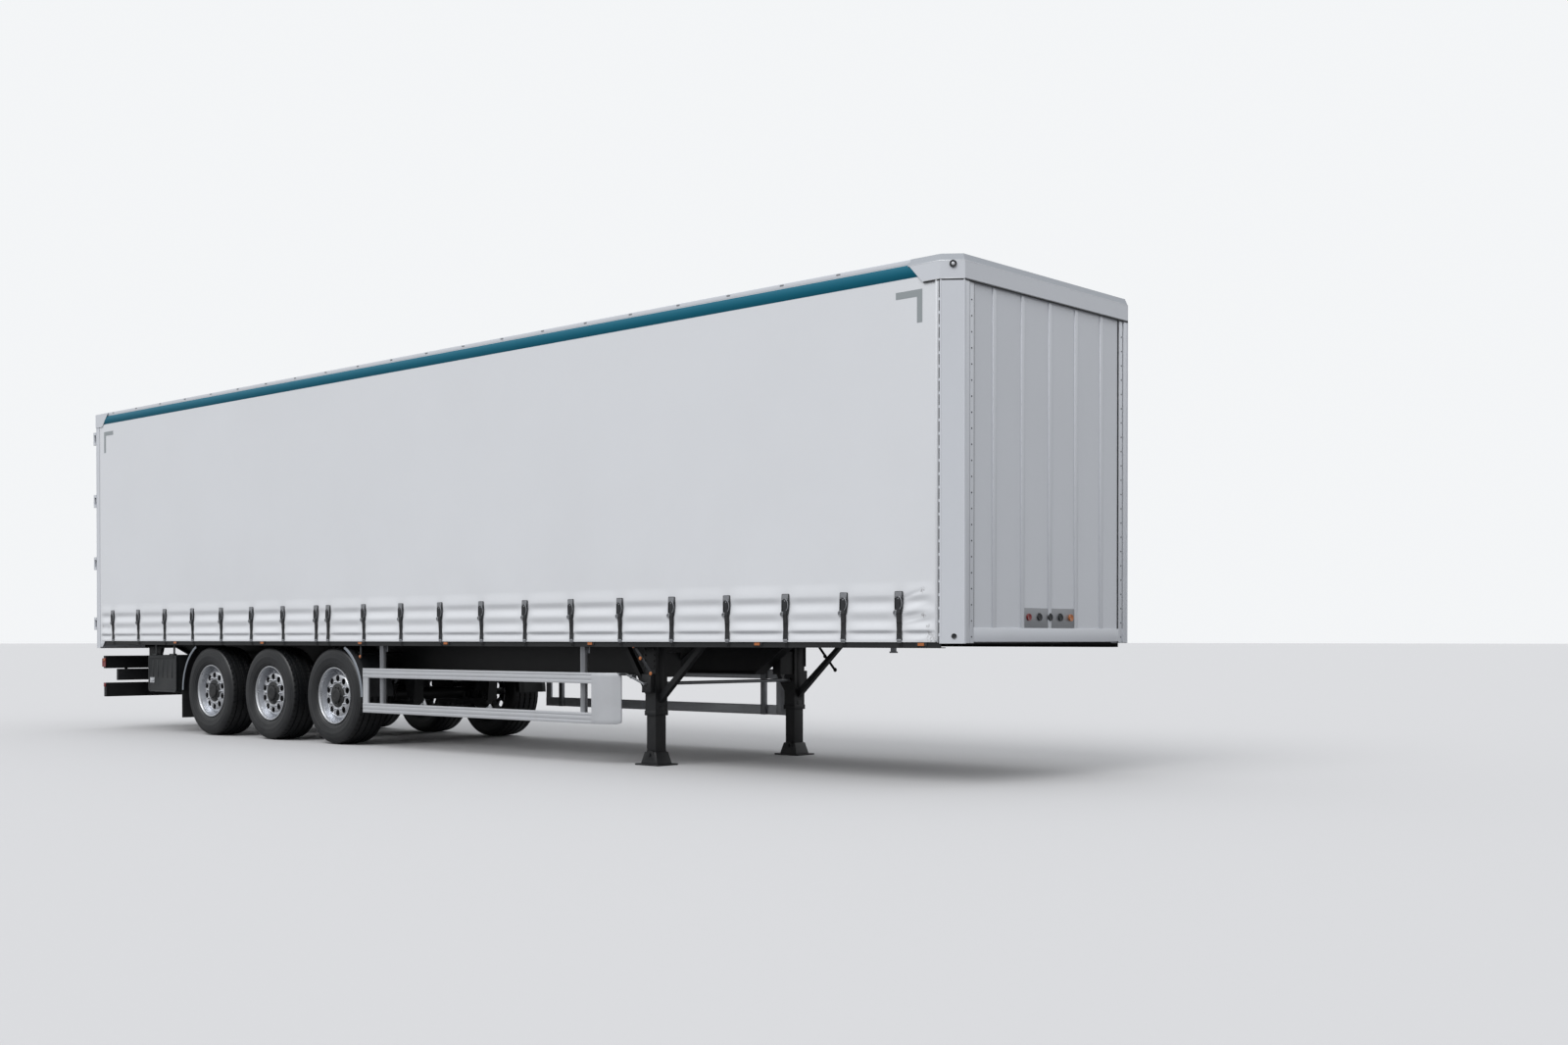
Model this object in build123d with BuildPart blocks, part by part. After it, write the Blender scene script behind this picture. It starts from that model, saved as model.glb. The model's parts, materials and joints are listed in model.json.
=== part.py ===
import os
from math import asin, atan2, cos, pi, radians, sin, tan

from build123d import *

os.makedirs("parts", exist_ok=True)

# Curtainside semi trailer, in millimetres. +X is forward, +Y is left, +Z is up, and the origin
# is on the ground below the middle of the whole trailer. "From the rear" means forward of the
# rear frame's back face.

# Overall sizes
body_length = 13600.0
body_width = 2550.0
overall_height = 4000.0
side_y = body_width / 2
rear_reach = 80.0  # lock bar guides behind the rear frame's back face
rear_x = -(body_length - rear_reach) / 2
front_x = rear_x + body_length
# The lists of stations along the side follow the body's length: the last side lamp keeps its
# distance from the front, and the other stations move in the same proportion
last_lamp_station = 13272.0
last_lamp_from_front = 328.0
spread = (body_length - last_lamp_from_front) / last_lamp_station

# Floor and chassis
floor_top_z = 1228.0
floor_thickness = 28.0
floor_bottom_z = floor_top_z - floor_thickness
rail_y = 600.0
rail_width = 140.0
flange_thickness = 14.0
web_thickness = 8.0
rail_bottom_z = 787.0
rail_rear_z = 1020.0
neck_bottom_z = 1105.0
rear_taper_start = 900.0
rear_taper_end = 1700.0
gooseneck_start = body_length - 3740.0
gooseneck_end = body_length - 3275.0
cross_member_height = 80.0
cross_member_width = 60.0
cross_member_thickness = 6.0
cross_member_first = 420.0
cross_member_last = body_length - 220.0
cross_member_count = 25
cross_member_pitch = (cross_member_last - cross_member_first) / (cross_member_count - 1)
side_rail_top_z = floor_top_z
side_rail_bottom_z = 1060.0
side_rail_outer_y = 1257.0
side_rail_width = 62.0
side_rail_wall = 6.0

# Coupling
kingpin_from_front = 1600.0
plate_thickness = 12.0
plate_corner = 60.0
plate_rear = body_length - 2500.0
plate_front = body_length - 300.0
pin_collar_radius = 36.5
pin_neck_radius = 25.4
pin_foot_radius = 35.7
pin_collar_height = 36.0
pin_neck_height = 35.0
pin_foot_height = 13.0
pin_flange_radius = 75.0
pin_flange_thickness = 12.0
pin_hole_gap = 0.3

# Body shell
wall_thickness = 40.0
front_wall_inset = 20.0
post_length = 150.0
post_width = 131.0
corner_length = 145.0  # the body's slanted front corners
corner_width = 115.0
post_top_z = overall_height - 192.0
post_bottom_z = 1095.0
header_rear_low = body_length - 312.0
header_slant_run = 178.0
header_lean = 60.0
roof_rail_bottom_z = overall_height - 200.0
roof_rail_top_z = overall_height - 20.0
roof_rail_inner_y = 1210.0
roof_rail_outer_y = 1260.0
roof_rail_wall = 8.0
trim_bottom_z = overall_height - 145.0
trim_height = 100.0
curtain_slot = 0.3
roof_sheet_thickness = 5.0
roof_sheet_drop = 6.0
bow_height = 35.0
bow_width = 40.0
bow_count = 21
bow_first = 730.0
bow_pitch = (body_length - 870.0 - bow_first) / (bow_count - 1)

# Rear frame and doors
rear_post_length = 90.0
rear_post_width = 60.0
rear_post_outer_y = 1268.0
rear_bottom_z = 1013.0
rear_top_z = overall_height - 10.0
header_bottom_z = rear_top_z - 130.0
cap_low_length = 170.0
cap_bottom_z = rear_top_z - 165.0
cap_thickness = 8.0
door_gap = 5.0
door_thickness = 40.0
door_inner_y = 8.0
door_outer_y = 1235.0
door_bottom_z = 1135.0
door_top_z = rear_top_z - 110.0
hinge_pin_y = 1262.0
hinge_pin_back = 60.0
hinge_radius = 12.5
hinge_pin_radius = 7.0
door_height = door_top_z - door_bottom_z
hinge_heights = tuple(door_bottom_z + share * door_height for share in (0.07, 0.35, 0.64, 0.93))
knuckle_height = 90.0
lug_height = 35.0
hinge_gap = 1.0
strap_reach = 190.0
strap_thickness = 8.0
lock_bar_radius = 13.5
lock_bar_back = 64.0
lock_bar_offsets = (250.0, 800.0)  # from the hinge pin
guide_heights = tuple(door_bottom_z + share * door_height for share in (0.04, 0.32, 0.67, 0.96))
guide_width = 70.0
guide_height = 60.0
keeper_clearance = 14.0
keeper_thickness = 8.0
keeper_height = 40.0
bar_bottom_z = rear_bottom_z + 60.0
bar_top_z = rear_top_z - 50.0
handle_height = 1520.0
handle_length = 430.0
handle_depth = 34.0

# Curtains and straps
curtain_inner_y = 1262.0
curtain_thickness = 4.0
curtain_bottom_z = 1105.0
curtain_top_z = overall_height - 150.0
curtain_rear = 95.0
curtain_front = body_length - 155.0
strap_width = 46.0
strap_thickness_y = 4.0
hook_bottom_z = curtain_bottom_z - 40.0
buckle_width = 56.0
buckle_top_z = 1505.0
buckle_bottom_z = 1322.0
buckle_depth = 22.0
# Runs of curtain straps along the side: first one from the rear, how many, pitch
strap_runs = ((440.0, 8, 661.0), (5301.0, 11, 660.0), (12516.0, 2, 550.0))

# Posts and laths behind the curtains
side_post_stations = tuple(station * spread for station in (3400.0, 6780.0, 10160.0))
side_post_length = 100.0
side_post_inner_y = 1197.0
lath_thickness = 25.0
lath_height = 120.0
lath_heights = tuple(
    floor_top_z + share * (overall_height - floor_top_z) for share in (0.19, 0.37, 0.55, 0.73)
)

# Wheels and running gear
wheel_radius = 522.0
tyre_width = 385.0
tyre_bead_radius = 292.0
wheel_y = 1030.0
axle_middle = 4000.0
axle_pitch = 1290.0
axle_stations = (
    ("front", axle_middle + axle_pitch),
    ("middle", axle_middle),
    ("rear", axle_middle - axle_pitch),
)
rim_width = 300.0
rim_thickness = 12.0
rim_flange_radius = 306.0
rim_flange_width = 14.0
bead_gap = 0.5
disc_face_y = 1150.0
dish_depth = 55.0
dish_radius = 212.0
tyre_shoulder = 40.0
tyre_crown_drop = 10.0
disc_thickness = 16.0
hand_hole_radius = 22.0
hand_hole_circle = 183.0
hand_hole_count = 10
hub_radius = 118.0
hub_cap_radius = 125.0
hub_reach = 1168.0
hub_inner_gap = 5.0
spindle_radius = 38.0
spindle_clearance = 0.5
axle_radius = 65.0
axle_tube_end_y = 780.0
spindle_end_y = 1080.0
brake_plate_radius = 200.0
brake_plate_thickness = 12.0
arm_y = 500.0
arm_width = 80.0
arm_height = 60.0
hanger_ahead = 500.0
hanger_width = 120.0
hanger_length = 150.0
hanger_bottom_z = 440.0
spring_behind = 380.0
spring_radius = 140.0
spring_plate_thickness = 12.0
spring_plate_overhang = 15.0

# Mudguards
guard_radius = 590.0
guard_thickness = 6.0
guard_inner_y = 850.0
guard_outer_y = 1240.0
guard_bracket_angle = radians(50)
guard_bracket_radius = 15.0
guard_bracket_inset = 40.0
guard_rail_gap = 2.0
flap_bottom_z = 190.0
flap_top_z = 562.0
flap_width = 380.0
flap_thickness = 8.0

# Landing legs
leg_station = body_length - 3576.0
leg_y = 927.0
leg_length = 133.0
leg_width = 145.0
leg_wall = 8.0
leg_top_z = 1095.0
leg_bottom_z = 445.0
leg_bracket_height = 220.0
inner_leg_gap = 0.3
inner_leg_top_z = 760.0
foot_height = 60.0
foot_plate_thickness = 14.0
foot_socket_height = 60.0
foot_length = 300.0
foot_width = 250.0
leg_shaft_radius = 16.0
leg_shaft_z = 730.0
brace_width = 50.0
brace_low_z = 560.0
brace_depth = 80.0
brace_reach = 250.0

# Side equipment
side_guard_outer_y = 1250.0
side_guard_thickness = 28.0
side_guard_rear = axle_middle + axle_pitch + wheel_radius + 95.0
side_guard_front = leg_station - 239.0
side_guard_rails = ((727.0, 98.0), (363.0, 100.0))  # bottom height, depth
side_guard_posts = (side_guard_rear + 301.0, side_guard_front - 425.0)
side_guard_post_length = 60.0
side_guard_post_depth = 40.0
side_guard_upright = 90.0
side_guard_nose = 277.0
side_guard_nose_inset = 110.0
nose_middle_share = 0.6
lamp_stations = tuple(
    station * spread
    for station in (2003.0, 3960.0, 5884.0, 7364.0, 9513.0, 11580.0, last_lamp_station)
)
lamp_length = 100.0
lamp_height = 32.0
lamp_thickness = 14.0
toolbox_length = 685.0
toolbox_front = axle_middle - axle_pitch - wheel_radius - 213.0
toolbox_rear = toolbox_front - toolbox_length
toolbox_bottom_z = 490.0
toolbox_top_z = 935.0
toolbox_outer_y = 1232.0
toolbox_depth = 470.0
toolbox_wall = 6.0
toolbox_lid_thickness = 14.0
toolbox_gap = 5.0
toolbox_lid_drop = 2.0
toolbox_hanger_inset = 120.0
toolbox_hanger_width = 40.0
toolbox_hinge_radius = 9.0
toolbox_pin_radius = 4.0
toolbox_lug_reach = 27.0
toolbox_knuckle_length = 60.0
toolbox_hinge_stations = (toolbox_rear + 130.0, toolbox_front - 130.0)

# Rear underride bar and lights
underrun_bottom_z = 396.0
underrun_height = 177.0
underrun_depth = 60.0
underrun_front = 110.0
bar_hanger_thickness = 40.0
bar_hanger_lift = 20.0
bar_hanger_foot = 60.0
bar_hanger_top = 330.0
light_bar_bottom_z = 757.0
light_bar_height = 160.0
light_bar_depth = 55.0
light_bar_front = 95.0
rear_bar_half_width = 1200.0
rear_lamp_width = 380.0
rear_lamp_height = 130.0
rear_lamp_depth = 30.0
rear_lamp_inset = 20.0
buffer_reach = 66.0
buffer_y = 1180.0
buffer_width = 110.0
buffer_height = 95.0

# Air tanks and front couplings
tank_behind_legs = (3124.0, 2724.0)
tank_radius = 130.0
tank_z = 987.0
coupling_places = (-300.0, -150.0, 0.0, 150.0, 300.0)
coupling_z = 1300.0
coupling_radius = 28.0


def from_rear(distance):
    return rear_x + distance


def finish(piece, name):
    piece.label = name
    export_step(piece, f"parts/{name}.step")


def front_outline(rear, thickness=0.0):
    """Corners in plan of the body's front end with its two slanted corners, set in by a thickness"""
    slant = atan2(corner_width, corner_length)
    side_slip = thickness * tan(slant / 2)
    front_slip = thickness * tan((pi / 2 - slant) / 2)
    right = [
        (rear, -side_y + thickness),
        (front_x - corner_length - side_slip, -side_y + thickness),
        (front_x - thickness, -side_y + corner_width + front_slip),
    ]
    return right + [(x, -y) for x, y in reversed(right)]


def sides(y):
    """The same place on the right and on the left."""
    return ((-1, -y), (1, y))


# Main rails: I-beams that are deep at the bogie and shallow over the coupling
rail_rear = rear_post_length
rail_front = body_length - front_wall_inset - wall_thickness
rail_outline = (
    (from_rear(rail_rear), floor_bottom_z),
    (from_rear(rail_front), floor_bottom_z),
    (from_rear(rail_front), neck_bottom_z),
    (from_rear(gooseneck_end), neck_bottom_z),
    (from_rear(gooseneck_start), rail_bottom_z),
    (from_rear(rear_taper_end), rail_bottom_z),
    (from_rear(rear_taper_start), rail_rear_z),
    (from_rear(rail_rear), rail_rear_z),
)
for side, y, name in ((-1, -rail_y, "main_rail_right"), (1, rail_y, "main_rail_left")):
    with BuildPart() as main_rail:
        with BuildSketch(Plane.XZ.offset(-y)):
            Polygon(*rail_outline, align=None)
        extrude(amount=rail_width / 2, both=True)
        with BuildSketch(Plane.XZ.offset(-y)) as web_window:
            Polygon(*rail_outline, align=None)
            offset(amount=-flange_thickness, kind=Kind.INTERSECTION, mode=Mode.REPLACE)
        for face_y in (y - (rail_width + web_thickness) / 4, y + (rail_width + web_thickness) / 4):
            pocket = web_window.sketch.moved(Location((0, face_y - y, 0)))
            extrude(pocket, amount=(rail_width - web_thickness) / 4, both=True, mode=Mode.SUBTRACT)
    finish(main_rail.part, name)

# Cross members: three spans at each station, from web to web and from web to side rail
cross_stations = [cross_member_first + i * cross_member_pitch for i in range(cross_member_count)]
web_outer_y = rail_y + web_thickness / 2
web_inner_y = rail_y - web_thickness / 2
side_rail_inner_y = side_rail_outer_y - side_rail_width
cross_z = floor_bottom_z - cross_member_height / 2
with BuildPart() as cross_members:
    with BuildSketch(Plane.XZ) as cross_profile:
        with Locations(*[(from_rear(station), cross_z) for station in cross_stations]):
            Rectangle(cross_member_width, cross_member_height)
        with Locations(*[
            (from_rear(station) + cross_member_thickness / 2, cross_z) for station in cross_stations
        ]):
            Rectangle(
                cross_member_width - cross_member_thickness,
                cross_member_height - 2 * cross_member_thickness,
                mode=Mode.SUBTRACT,
            )
    outer_span = side_rail_inner_y - web_outer_y
    extrude(amount=web_inner_y, both=True)
    for side, y in sides(web_outer_y + outer_span / 2):
        outer_profile = cross_profile.sketch.moved(Location((0, y, 0)))
        extrude(outer_profile, amount=outer_span / 2, both=True)
    for side, y in sides(rail_y):
        with BuildSketch(Plane.XY.offset(floor_bottom_z - flange_thickness)):
            with Locations((0, y)):
                Rectangle(2 * body_length, rail_width)
        extrude(amount=flange_thickness, mode=Mode.SUBTRACT)
finish(cross_members.part, "cross_members")

# Side rails: channels along the floor's edges, open to the inside
side_rail_front = body_length - post_length
side_rail_height = side_rail_top_z - side_rail_bottom_z
with BuildPart() as side_rails:
    for side, y in sides(side_rail_outer_y - side_rail_width / 2):
        with BuildSketch(Plane.YZ.offset(from_rear(rear_post_length))):
            with Locations((y, side_rail_bottom_z + side_rail_height / 2)):
                Rectangle(side_rail_width, side_rail_height)
            with Locations((
                y - side * side_rail_wall / 2,
                side_rail_bottom_z + (floor_bottom_z - cross_member_height - side_rail_bottom_z) / 2,
            )):
                Rectangle(
                    side_rail_width - side_rail_wall,
                    floor_bottom_z - cross_member_height - side_rail_bottom_z - 2 * side_rail_wall,
                    mode=Mode.SUBTRACT,
                )
        extrude(amount=side_rail_front - rear_post_length)
finish(side_rails.part, "side_rails")

# Load floor
floor_front = body_length - front_wall_inset - wall_thickness
with BuildPart() as load_floor:
    with BuildSketch(Plane.XY.offset(floor_bottom_z)):
        with Locations((from_rear((rear_post_length + floor_front) / 2), 0)):
            Rectangle(floor_front - rear_post_length, 2 * side_rail_inner_y)
    extrude(amount=floor_thickness)
    # The floor ends between the front posts
    for side, y in sides(side_y - post_width / 2):
        with BuildSketch(Plane.XY.offset(floor_bottom_z)):
            with Locations((front_x - post_length / 2, y)):
                Rectangle(post_length, post_width)
        extrude(amount=floor_thickness, mode=Mode.SUBTRACT)
finish(load_floor.part, "load_floor")

# Coupler plate and kingpin
plate_top_z = neck_bottom_z
plate_bottom_z = plate_top_z - plate_thickness
kingpin_x = front_x - kingpin_from_front
with BuildPart() as coupler_plate:
    with BuildSketch(Plane.XY.offset(plate_bottom_z)):
        with Locations((from_rear((plate_rear + plate_front) / 2), 0)):
            RectangleRounded(plate_front - plate_rear, 2 * rail_y + rail_width, plate_corner)
        with Locations((kingpin_x, 0)):
            Circle(pin_collar_radius + pin_hole_gap, mode=Mode.SUBTRACT)
    extrude(amount=plate_thickness)
finish(coupler_plate.part, "coupler_plate")

pin_neck_z = plate_bottom_z - pin_collar_height
pin_foot_z = pin_neck_z - pin_neck_height
pin_end_z = pin_foot_z - pin_foot_height
with BuildPart() as kingpin:
    for radius, bottom_z, height in (
        (pin_flange_radius, plate_top_z, pin_flange_thickness),
        (pin_collar_radius, pin_neck_z, pin_collar_height + plate_thickness),
        (pin_neck_radius, pin_foot_z, pin_neck_height),
        (pin_foot_radius, pin_end_z, pin_foot_height),
    ):
        with BuildSketch(Plane.XY.offset(bottom_z)):
            with Locations((kingpin_x, 0)):
                Circle(radius)
        extrude(amount=height)
finish(kingpin.part, "kingpin")

# Front wall between the corner posts
front_wall_x = front_x - front_wall_inset - wall_thickness
post_inner_y = side_y - post_width
with BuildPart() as front_wall:
    with BuildSketch(Plane.YZ.offset(front_wall_x)):
        with Locations((0, (neck_bottom_z + post_top_z) / 2)):
            Rectangle(2 * post_inner_y, post_top_z - neck_bottom_z)
    extrude(amount=wall_thickness)
finish(front_wall.part, "front_wall")

# Front corner posts, their outer faces slanted
with BuildPart() as front_posts:
    for side, y in sides(side_y):
        with BuildSketch(Plane.XY.offset(post_bottom_z)):
            Polygon(
                (front_x - post_length, y),
                (front_x - corner_length, y),
                (front_x, y - side * corner_width),
                (front_x, y - side * post_width),
                (front_x - post_length, y - side * post_width),
                align=None,
            )
        extrude(amount=post_top_z - post_bottom_z)
finish(front_posts.part, "front_posts")

# Front header: a cap around the front of the roof, its upper band leaning inwards
header_rear_high = header_rear_low - header_slant_run
header_thickness = side_y - roof_rail_inner_y
curtain_mid_y = curtain_inner_y + curtain_thickness / 2
with BuildPart() as front_header:
    with BuildSketch(Plane.XY.offset(post_top_z)):
        Polygon(*front_outline(from_rear(header_rear_high)), align=None)
    extrude(amount=overall_height - post_top_z)
    top_edges = front_header.edges().group_by(Axis.Z)[-1].sort_by(Axis.X)[1:]
    chamfer(top_edges, length=header_lean)
    with BuildSketch(Plane.XY.offset(post_top_z)):
        Polygon(*front_outline(from_rear(header_rear_high), header_thickness), align=None)
    extrude(amount=overall_height - post_top_z, mode=Mode.SUBTRACT)
    with BuildSketch(Plane.XZ):
        Polygon(
            (from_rear(header_rear_high), post_top_z),
            (from_rear(header_rear_low), post_top_z),
            (from_rear(header_rear_high), overall_height),
            align=None,
        )
    extrude(amount=body_width, both=True, mode=Mode.SUBTRACT)
    # Slots that the curtains' top edges run into
    for side, y in sides(curtain_mid_y):
        with BuildSketch(Plane.XZ.offset(-y)):
            with Locations((from_rear((header_rear_high + side_rail_front) / 2), post_top_z)):
                Rectangle(
                    side_rail_front - header_rear_high,
                    2 * (curtain_top_z + curtain_slot - post_top_z),
                )
        extrude(amount=curtain_thickness / 2 + curtain_slot, both=True, mode=Mode.SUBTRACT)
finish(front_header.part, "front_header")

# Roof rails: channels that carry the curtain and the bows, open below
cap_high_length = cap_low_length + (rear_top_z - cap_bottom_z)
roof_rail_width = roof_rail_outer_y - roof_rail_inner_y
with BuildPart() as roof_rails:
    for side, y in sides((roof_rail_inner_y + roof_rail_outer_y) / 2):
        with BuildSketch(Plane.YZ.offset(from_rear(rear_post_length))):
            with Locations((y, (roof_rail_bottom_z + roof_rail_top_z) / 2)):
                Rectangle(roof_rail_width, roof_rail_top_z - roof_rail_bottom_z)
            with Locations((y, (roof_rail_bottom_z + roof_rail_top_z) / 2 - roof_rail_wall)):
                Rectangle(
                    roof_rail_width - 2 * roof_rail_wall,
                    roof_rail_top_z - roof_rail_bottom_z - roof_rail_wall,
                    mode=Mode.SUBTRACT,
                )
        extrude(amount=header_rear_low - rear_post_length)
    with BuildSketch(Plane.XZ):
        Polygon(
            (from_rear(header_rear_low) + 1, post_top_z),
            (from_rear(header_rear_low), post_top_z),
            (from_rear(header_rear_high), overall_height),
            (from_rear(header_rear_low) + 1, overall_height),
            align=None,
        )
    extrude(amount=body_width, both=True, mode=Mode.SUBTRACT)
finish(roof_rails.part, "roof_rails")

# Coloured trim strip along each roof rail, rounded outwards, its ends cut at a slant
trim_depth = side_y - roof_rail_outer_y
trim_slant = trim_height * header_slant_run / (overall_height - post_top_z)
trim_front_low = header_rear_low - (trim_bottom_z - post_top_z) * header_slant_run / (
    overall_height - post_top_z
)
trim_rear_low = cap_low_length + (trim_bottom_z - cap_bottom_z)
with BuildPart() as roof_trim:
    for side, y in sides(roof_rail_outer_y):
        with BuildSketch(Plane.YZ.offset(from_rear(trim_rear_low))):
            with BuildLine():
                lower = (y, trim_bottom_z)
                upper = (y, trim_bottom_z + trim_height)
                crown = (y + side * trim_depth, trim_bottom_z + trim_height / 2)
                ThreePointArc(lower, crown, upper)
                Line(upper, lower)
            make_face()
        extrude(amount=trim_front_low - trim_rear_low)
    for end_x, lean in (
        (from_rear(trim_front_low), -trim_slant),
        (from_rear(trim_rear_low), trim_height),
    ):
        with BuildSketch(Plane.XZ):
            Polygon(
                (end_x, trim_bottom_z),
                (end_x + lean, trim_bottom_z + trim_height),
                (end_x, trim_bottom_z + trim_height),
                align=None,
            )
        extrude(amount=body_width, both=True, mode=Mode.SUBTRACT)
finish(roof_trim.part, "roof_trim")

# Roof bows across the load space, and the taut roof cover on them
cover_top_z = roof_rail_top_z - roof_sheet_drop
cover_bottom_z = cover_top_z - roof_sheet_thickness
bow_span = 2 * roof_rail_inner_y
with BuildPart() as roof_bows:
    bow_places = [(from_rear(bow_first + i * bow_pitch), 0) for i in range(bow_count)]
    with BuildSketch(Plane.XY.offset(cover_bottom_z - bow_height)):
        with Locations(*bow_places):
            Rectangle(bow_width, bow_span)
    extrude(amount=bow_height)
finish(roof_bows.part, "roof_bows")

with BuildPart() as roof_cover:
    with BuildSketch(Plane.XY.offset(cover_bottom_z)):
        Polygon(*front_outline(from_rear(rear_post_length), header_thickness), align=None)
    extrude(amount=roof_sheet_thickness)
finish(roof_cover.part, "roof_cover")

# Rear frame: posts, sill, header with the roof's rear caps, and the doors' hinge lugs
hinge_pin_x = rear_x - hinge_pin_back
rear_post_inner_y = rear_post_outer_y - rear_post_width
sill_top_z = floor_top_z
with BuildPart() as rear_frame:
    with BuildSketch(Plane.YZ.offset(rear_x)):
        with Locations((0, (rear_bottom_z + rear_top_z) / 2)):
            Rectangle(2 * rear_post_outer_y, rear_top_z - rear_bottom_z)
        with Locations((0, (sill_top_z + header_bottom_z) / 2)):
            Rectangle(2 * rear_post_inner_y, header_bottom_z - sill_top_z, mode=Mode.SUBTRACT)
    extrude(amount=rear_post_length)
    for side, y in sides(side_y - cap_thickness / 2):
        with BuildSketch(Plane.XZ.offset(-y)):
            Polygon(
                (rear_x, cap_bottom_z),
                (from_rear(cap_low_length), cap_bottom_z),
                (from_rear(cap_high_length), rear_top_z),
                (rear_x, rear_top_z),
                align=None,
            )
        extrude(amount=cap_thickness / 2, both=True)
    # Keepers: two cheeks beside each lock bar at the sill and at the header
    for side, pin_y in sides(hinge_pin_y):
        for bar_offset in lock_bar_offsets:
            for cheek_way in (-1, 1):
                cheek_y = pin_y - side * bar_offset + cheek_way * (
                    lock_bar_radius + keeper_clearance + keeper_thickness / 2
                )
                for cheek_z in (bar_bottom_z + keeper_height / 2, bar_top_z - keeper_height / 2):
                    with BuildSketch(Plane.YZ.offset(rear_x)):
                        with Locations((cheek_y, cheek_z)):
                            Rectangle(keeper_thickness, keeper_height)
                    extrude(amount=-lock_bar_back)
    lug_offset = (knuckle_height + lug_height) / 2 + hinge_gap
    for side, y in sides(hinge_pin_y):
        for height in hinge_heights:
            for lug_z in (height - lug_offset, height + lug_offset):
                with BuildSketch(Plane.XY.offset(lug_z - lug_height / 2)):
                    with Locations((hinge_pin_x, y)):
                        Circle(hinge_radius)
                    with Locations((hinge_pin_x + hinge_pin_back / 2, y)):
                        Rectangle(hinge_pin_back, 2 * hinge_radius)
                extrude(amount=lug_height)
            # The pin is held in the lugs and turns freely in the door's knuckle
            with BuildSketch(Plane.XY.offset(height - lug_offset)):
                with Locations((hinge_pin_x, y)):
                    Circle(hinge_pin_radius)
            extrude(amount=2 * lug_offset)
finish(rear_frame.part, "rear_frame")

# Rear doors: a flat leaf each, with hinge straps that end in knuckles
door_back_x = rear_x - door_gap - door_thickness
for side, name in ((-1, "door_right"), (1, "door_left")):
    with BuildPart() as door:
        with BuildSketch(Plane.YZ.offset(door_back_x)):
            with Locations((side * (door_inner_y + door_outer_y) / 2, (door_bottom_z + door_top_z) / 2)):
                Rectangle(door_outer_y - door_inner_y, door_top_z - door_bottom_z)
        extrude(amount=door_thickness)
        for height in hinge_heights:
            with BuildSketch(Plane.XY.offset(height - knuckle_height / 2)):
                with Locations((door_back_x - strap_thickness / 2, side * (hinge_pin_y - strap_reach / 2))):
                    Rectangle(strap_thickness, strap_reach)
                with Locations((hinge_pin_x, side * hinge_pin_y)):
                    Circle(hinge_radius)
                    Circle(hinge_pin_radius + spindle_clearance, mode=Mode.SUBTRACT)
            extrude(amount=knuckle_height)
    finish(door.part, name)

# Lock bars: two tubes on each door in guides, with cams at the ends and a flat handle each
lock_bar_x = rear_x - lock_bar_back
for side, name in ((-1, "lock_bars_right"), (1, "lock_bars_left")):
    with BuildPart() as lock_bars:
        for bar_offset in lock_bar_offsets:
            bar_y = side * (hinge_pin_y - bar_offset)
            with BuildSketch(Plane.XY.offset(bar_bottom_z)):
                with Locations((lock_bar_x, bar_y)):
                    Circle(lock_bar_radius)
            extrude(amount=bar_top_z - bar_bottom_z)
            for height in guide_heights:
                with BuildSketch(Plane.XY.offset(height - guide_height / 2)):
                    with Locations((door_back_x - (rear_reach - door_gap - door_thickness) / 2, bar_y)):
                        Rectangle(rear_reach - door_gap - door_thickness, guide_width)
                extrude(amount=guide_height)
            # Handle: a flat lever towards the doors' meeting edge
            with BuildSketch(Plane.YZ.offset(lock_bar_x - strap_thickness / 2)):
                with Locations((bar_y - side * handle_length / 2, handle_height)):
                    Rectangle(handle_length, handle_depth)
            extrude(amount=strap_thickness)
    finish(lock_bars.part, name)

# Curtains
for side, name in ((-1, "curtain_right"), (1, "curtain_left")):
    with BuildPart() as curtain:
        with BuildSketch(Plane.XZ.offset(-side * curtain_mid_y)):
            with Locations((
                from_rear((curtain_rear + curtain_front) / 2),
                (curtain_bottom_z + curtain_top_z) / 2,
            )):
                Rectangle(curtain_front - curtain_rear, curtain_top_z - curtain_bottom_z)
        extrude(amount=curtain_thickness / 2, both=True)
    finish(curtain.part, name)

# Strap sets: over-centre buckles on the curtain, each with its webbing and a hook on the side rail
strap_stations = [
    (first + i * pitch) * spread
    for first, count, pitch in strap_runs
    for i in range(count)
]
curtain_outer_y = curtain_inner_y + curtain_thickness
for side, name in ((-1, "strap_set_right"), (1, "strap_set_left")):
    strap_y = side * (curtain_outer_y + strap_thickness_y / 2)
    buckle_y = side * (curtain_outer_y + buckle_depth / 2)
    with BuildPart() as strap_set:
        with BuildSketch(Plane.XZ.offset(-strap_y)):
            with Locations(*[
                (from_rear(station), (hook_bottom_z + buckle_top_z) / 2) for station in strap_stations
            ]):
                Rectangle(strap_width, buckle_top_z - hook_bottom_z)
        extrude(amount=strap_thickness_y / 2, both=True)
        with BuildSketch(Plane.XZ.offset(-buckle_y)):
            with Locations(*[
                (from_rear(station), (buckle_bottom_z + buckle_top_z) / 2) for station in strap_stations
            ]):
                Rectangle(buckle_width, buckle_top_z - buckle_bottom_z)
        extrude(amount=buckle_depth / 2, both=True)
    finish(strap_set.part, name)

# Sliding posts behind the curtains, and the laths inside them
post_depth = side_rail_outer_y - side_post_inner_y
with BuildPart() as side_posts:
    for side, y in sides((side_rail_outer_y + side_post_inner_y) / 2):
        with BuildSketch(Plane.XY.offset(floor_top_z)):
            with Locations(*[(from_rear(station), y) for station in side_post_stations]):
                Rectangle(side_post_length, post_depth)
        extrude(amount=roof_rail_bottom_z - floor_top_z)
finish(side_posts.part, "side_posts")

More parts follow.
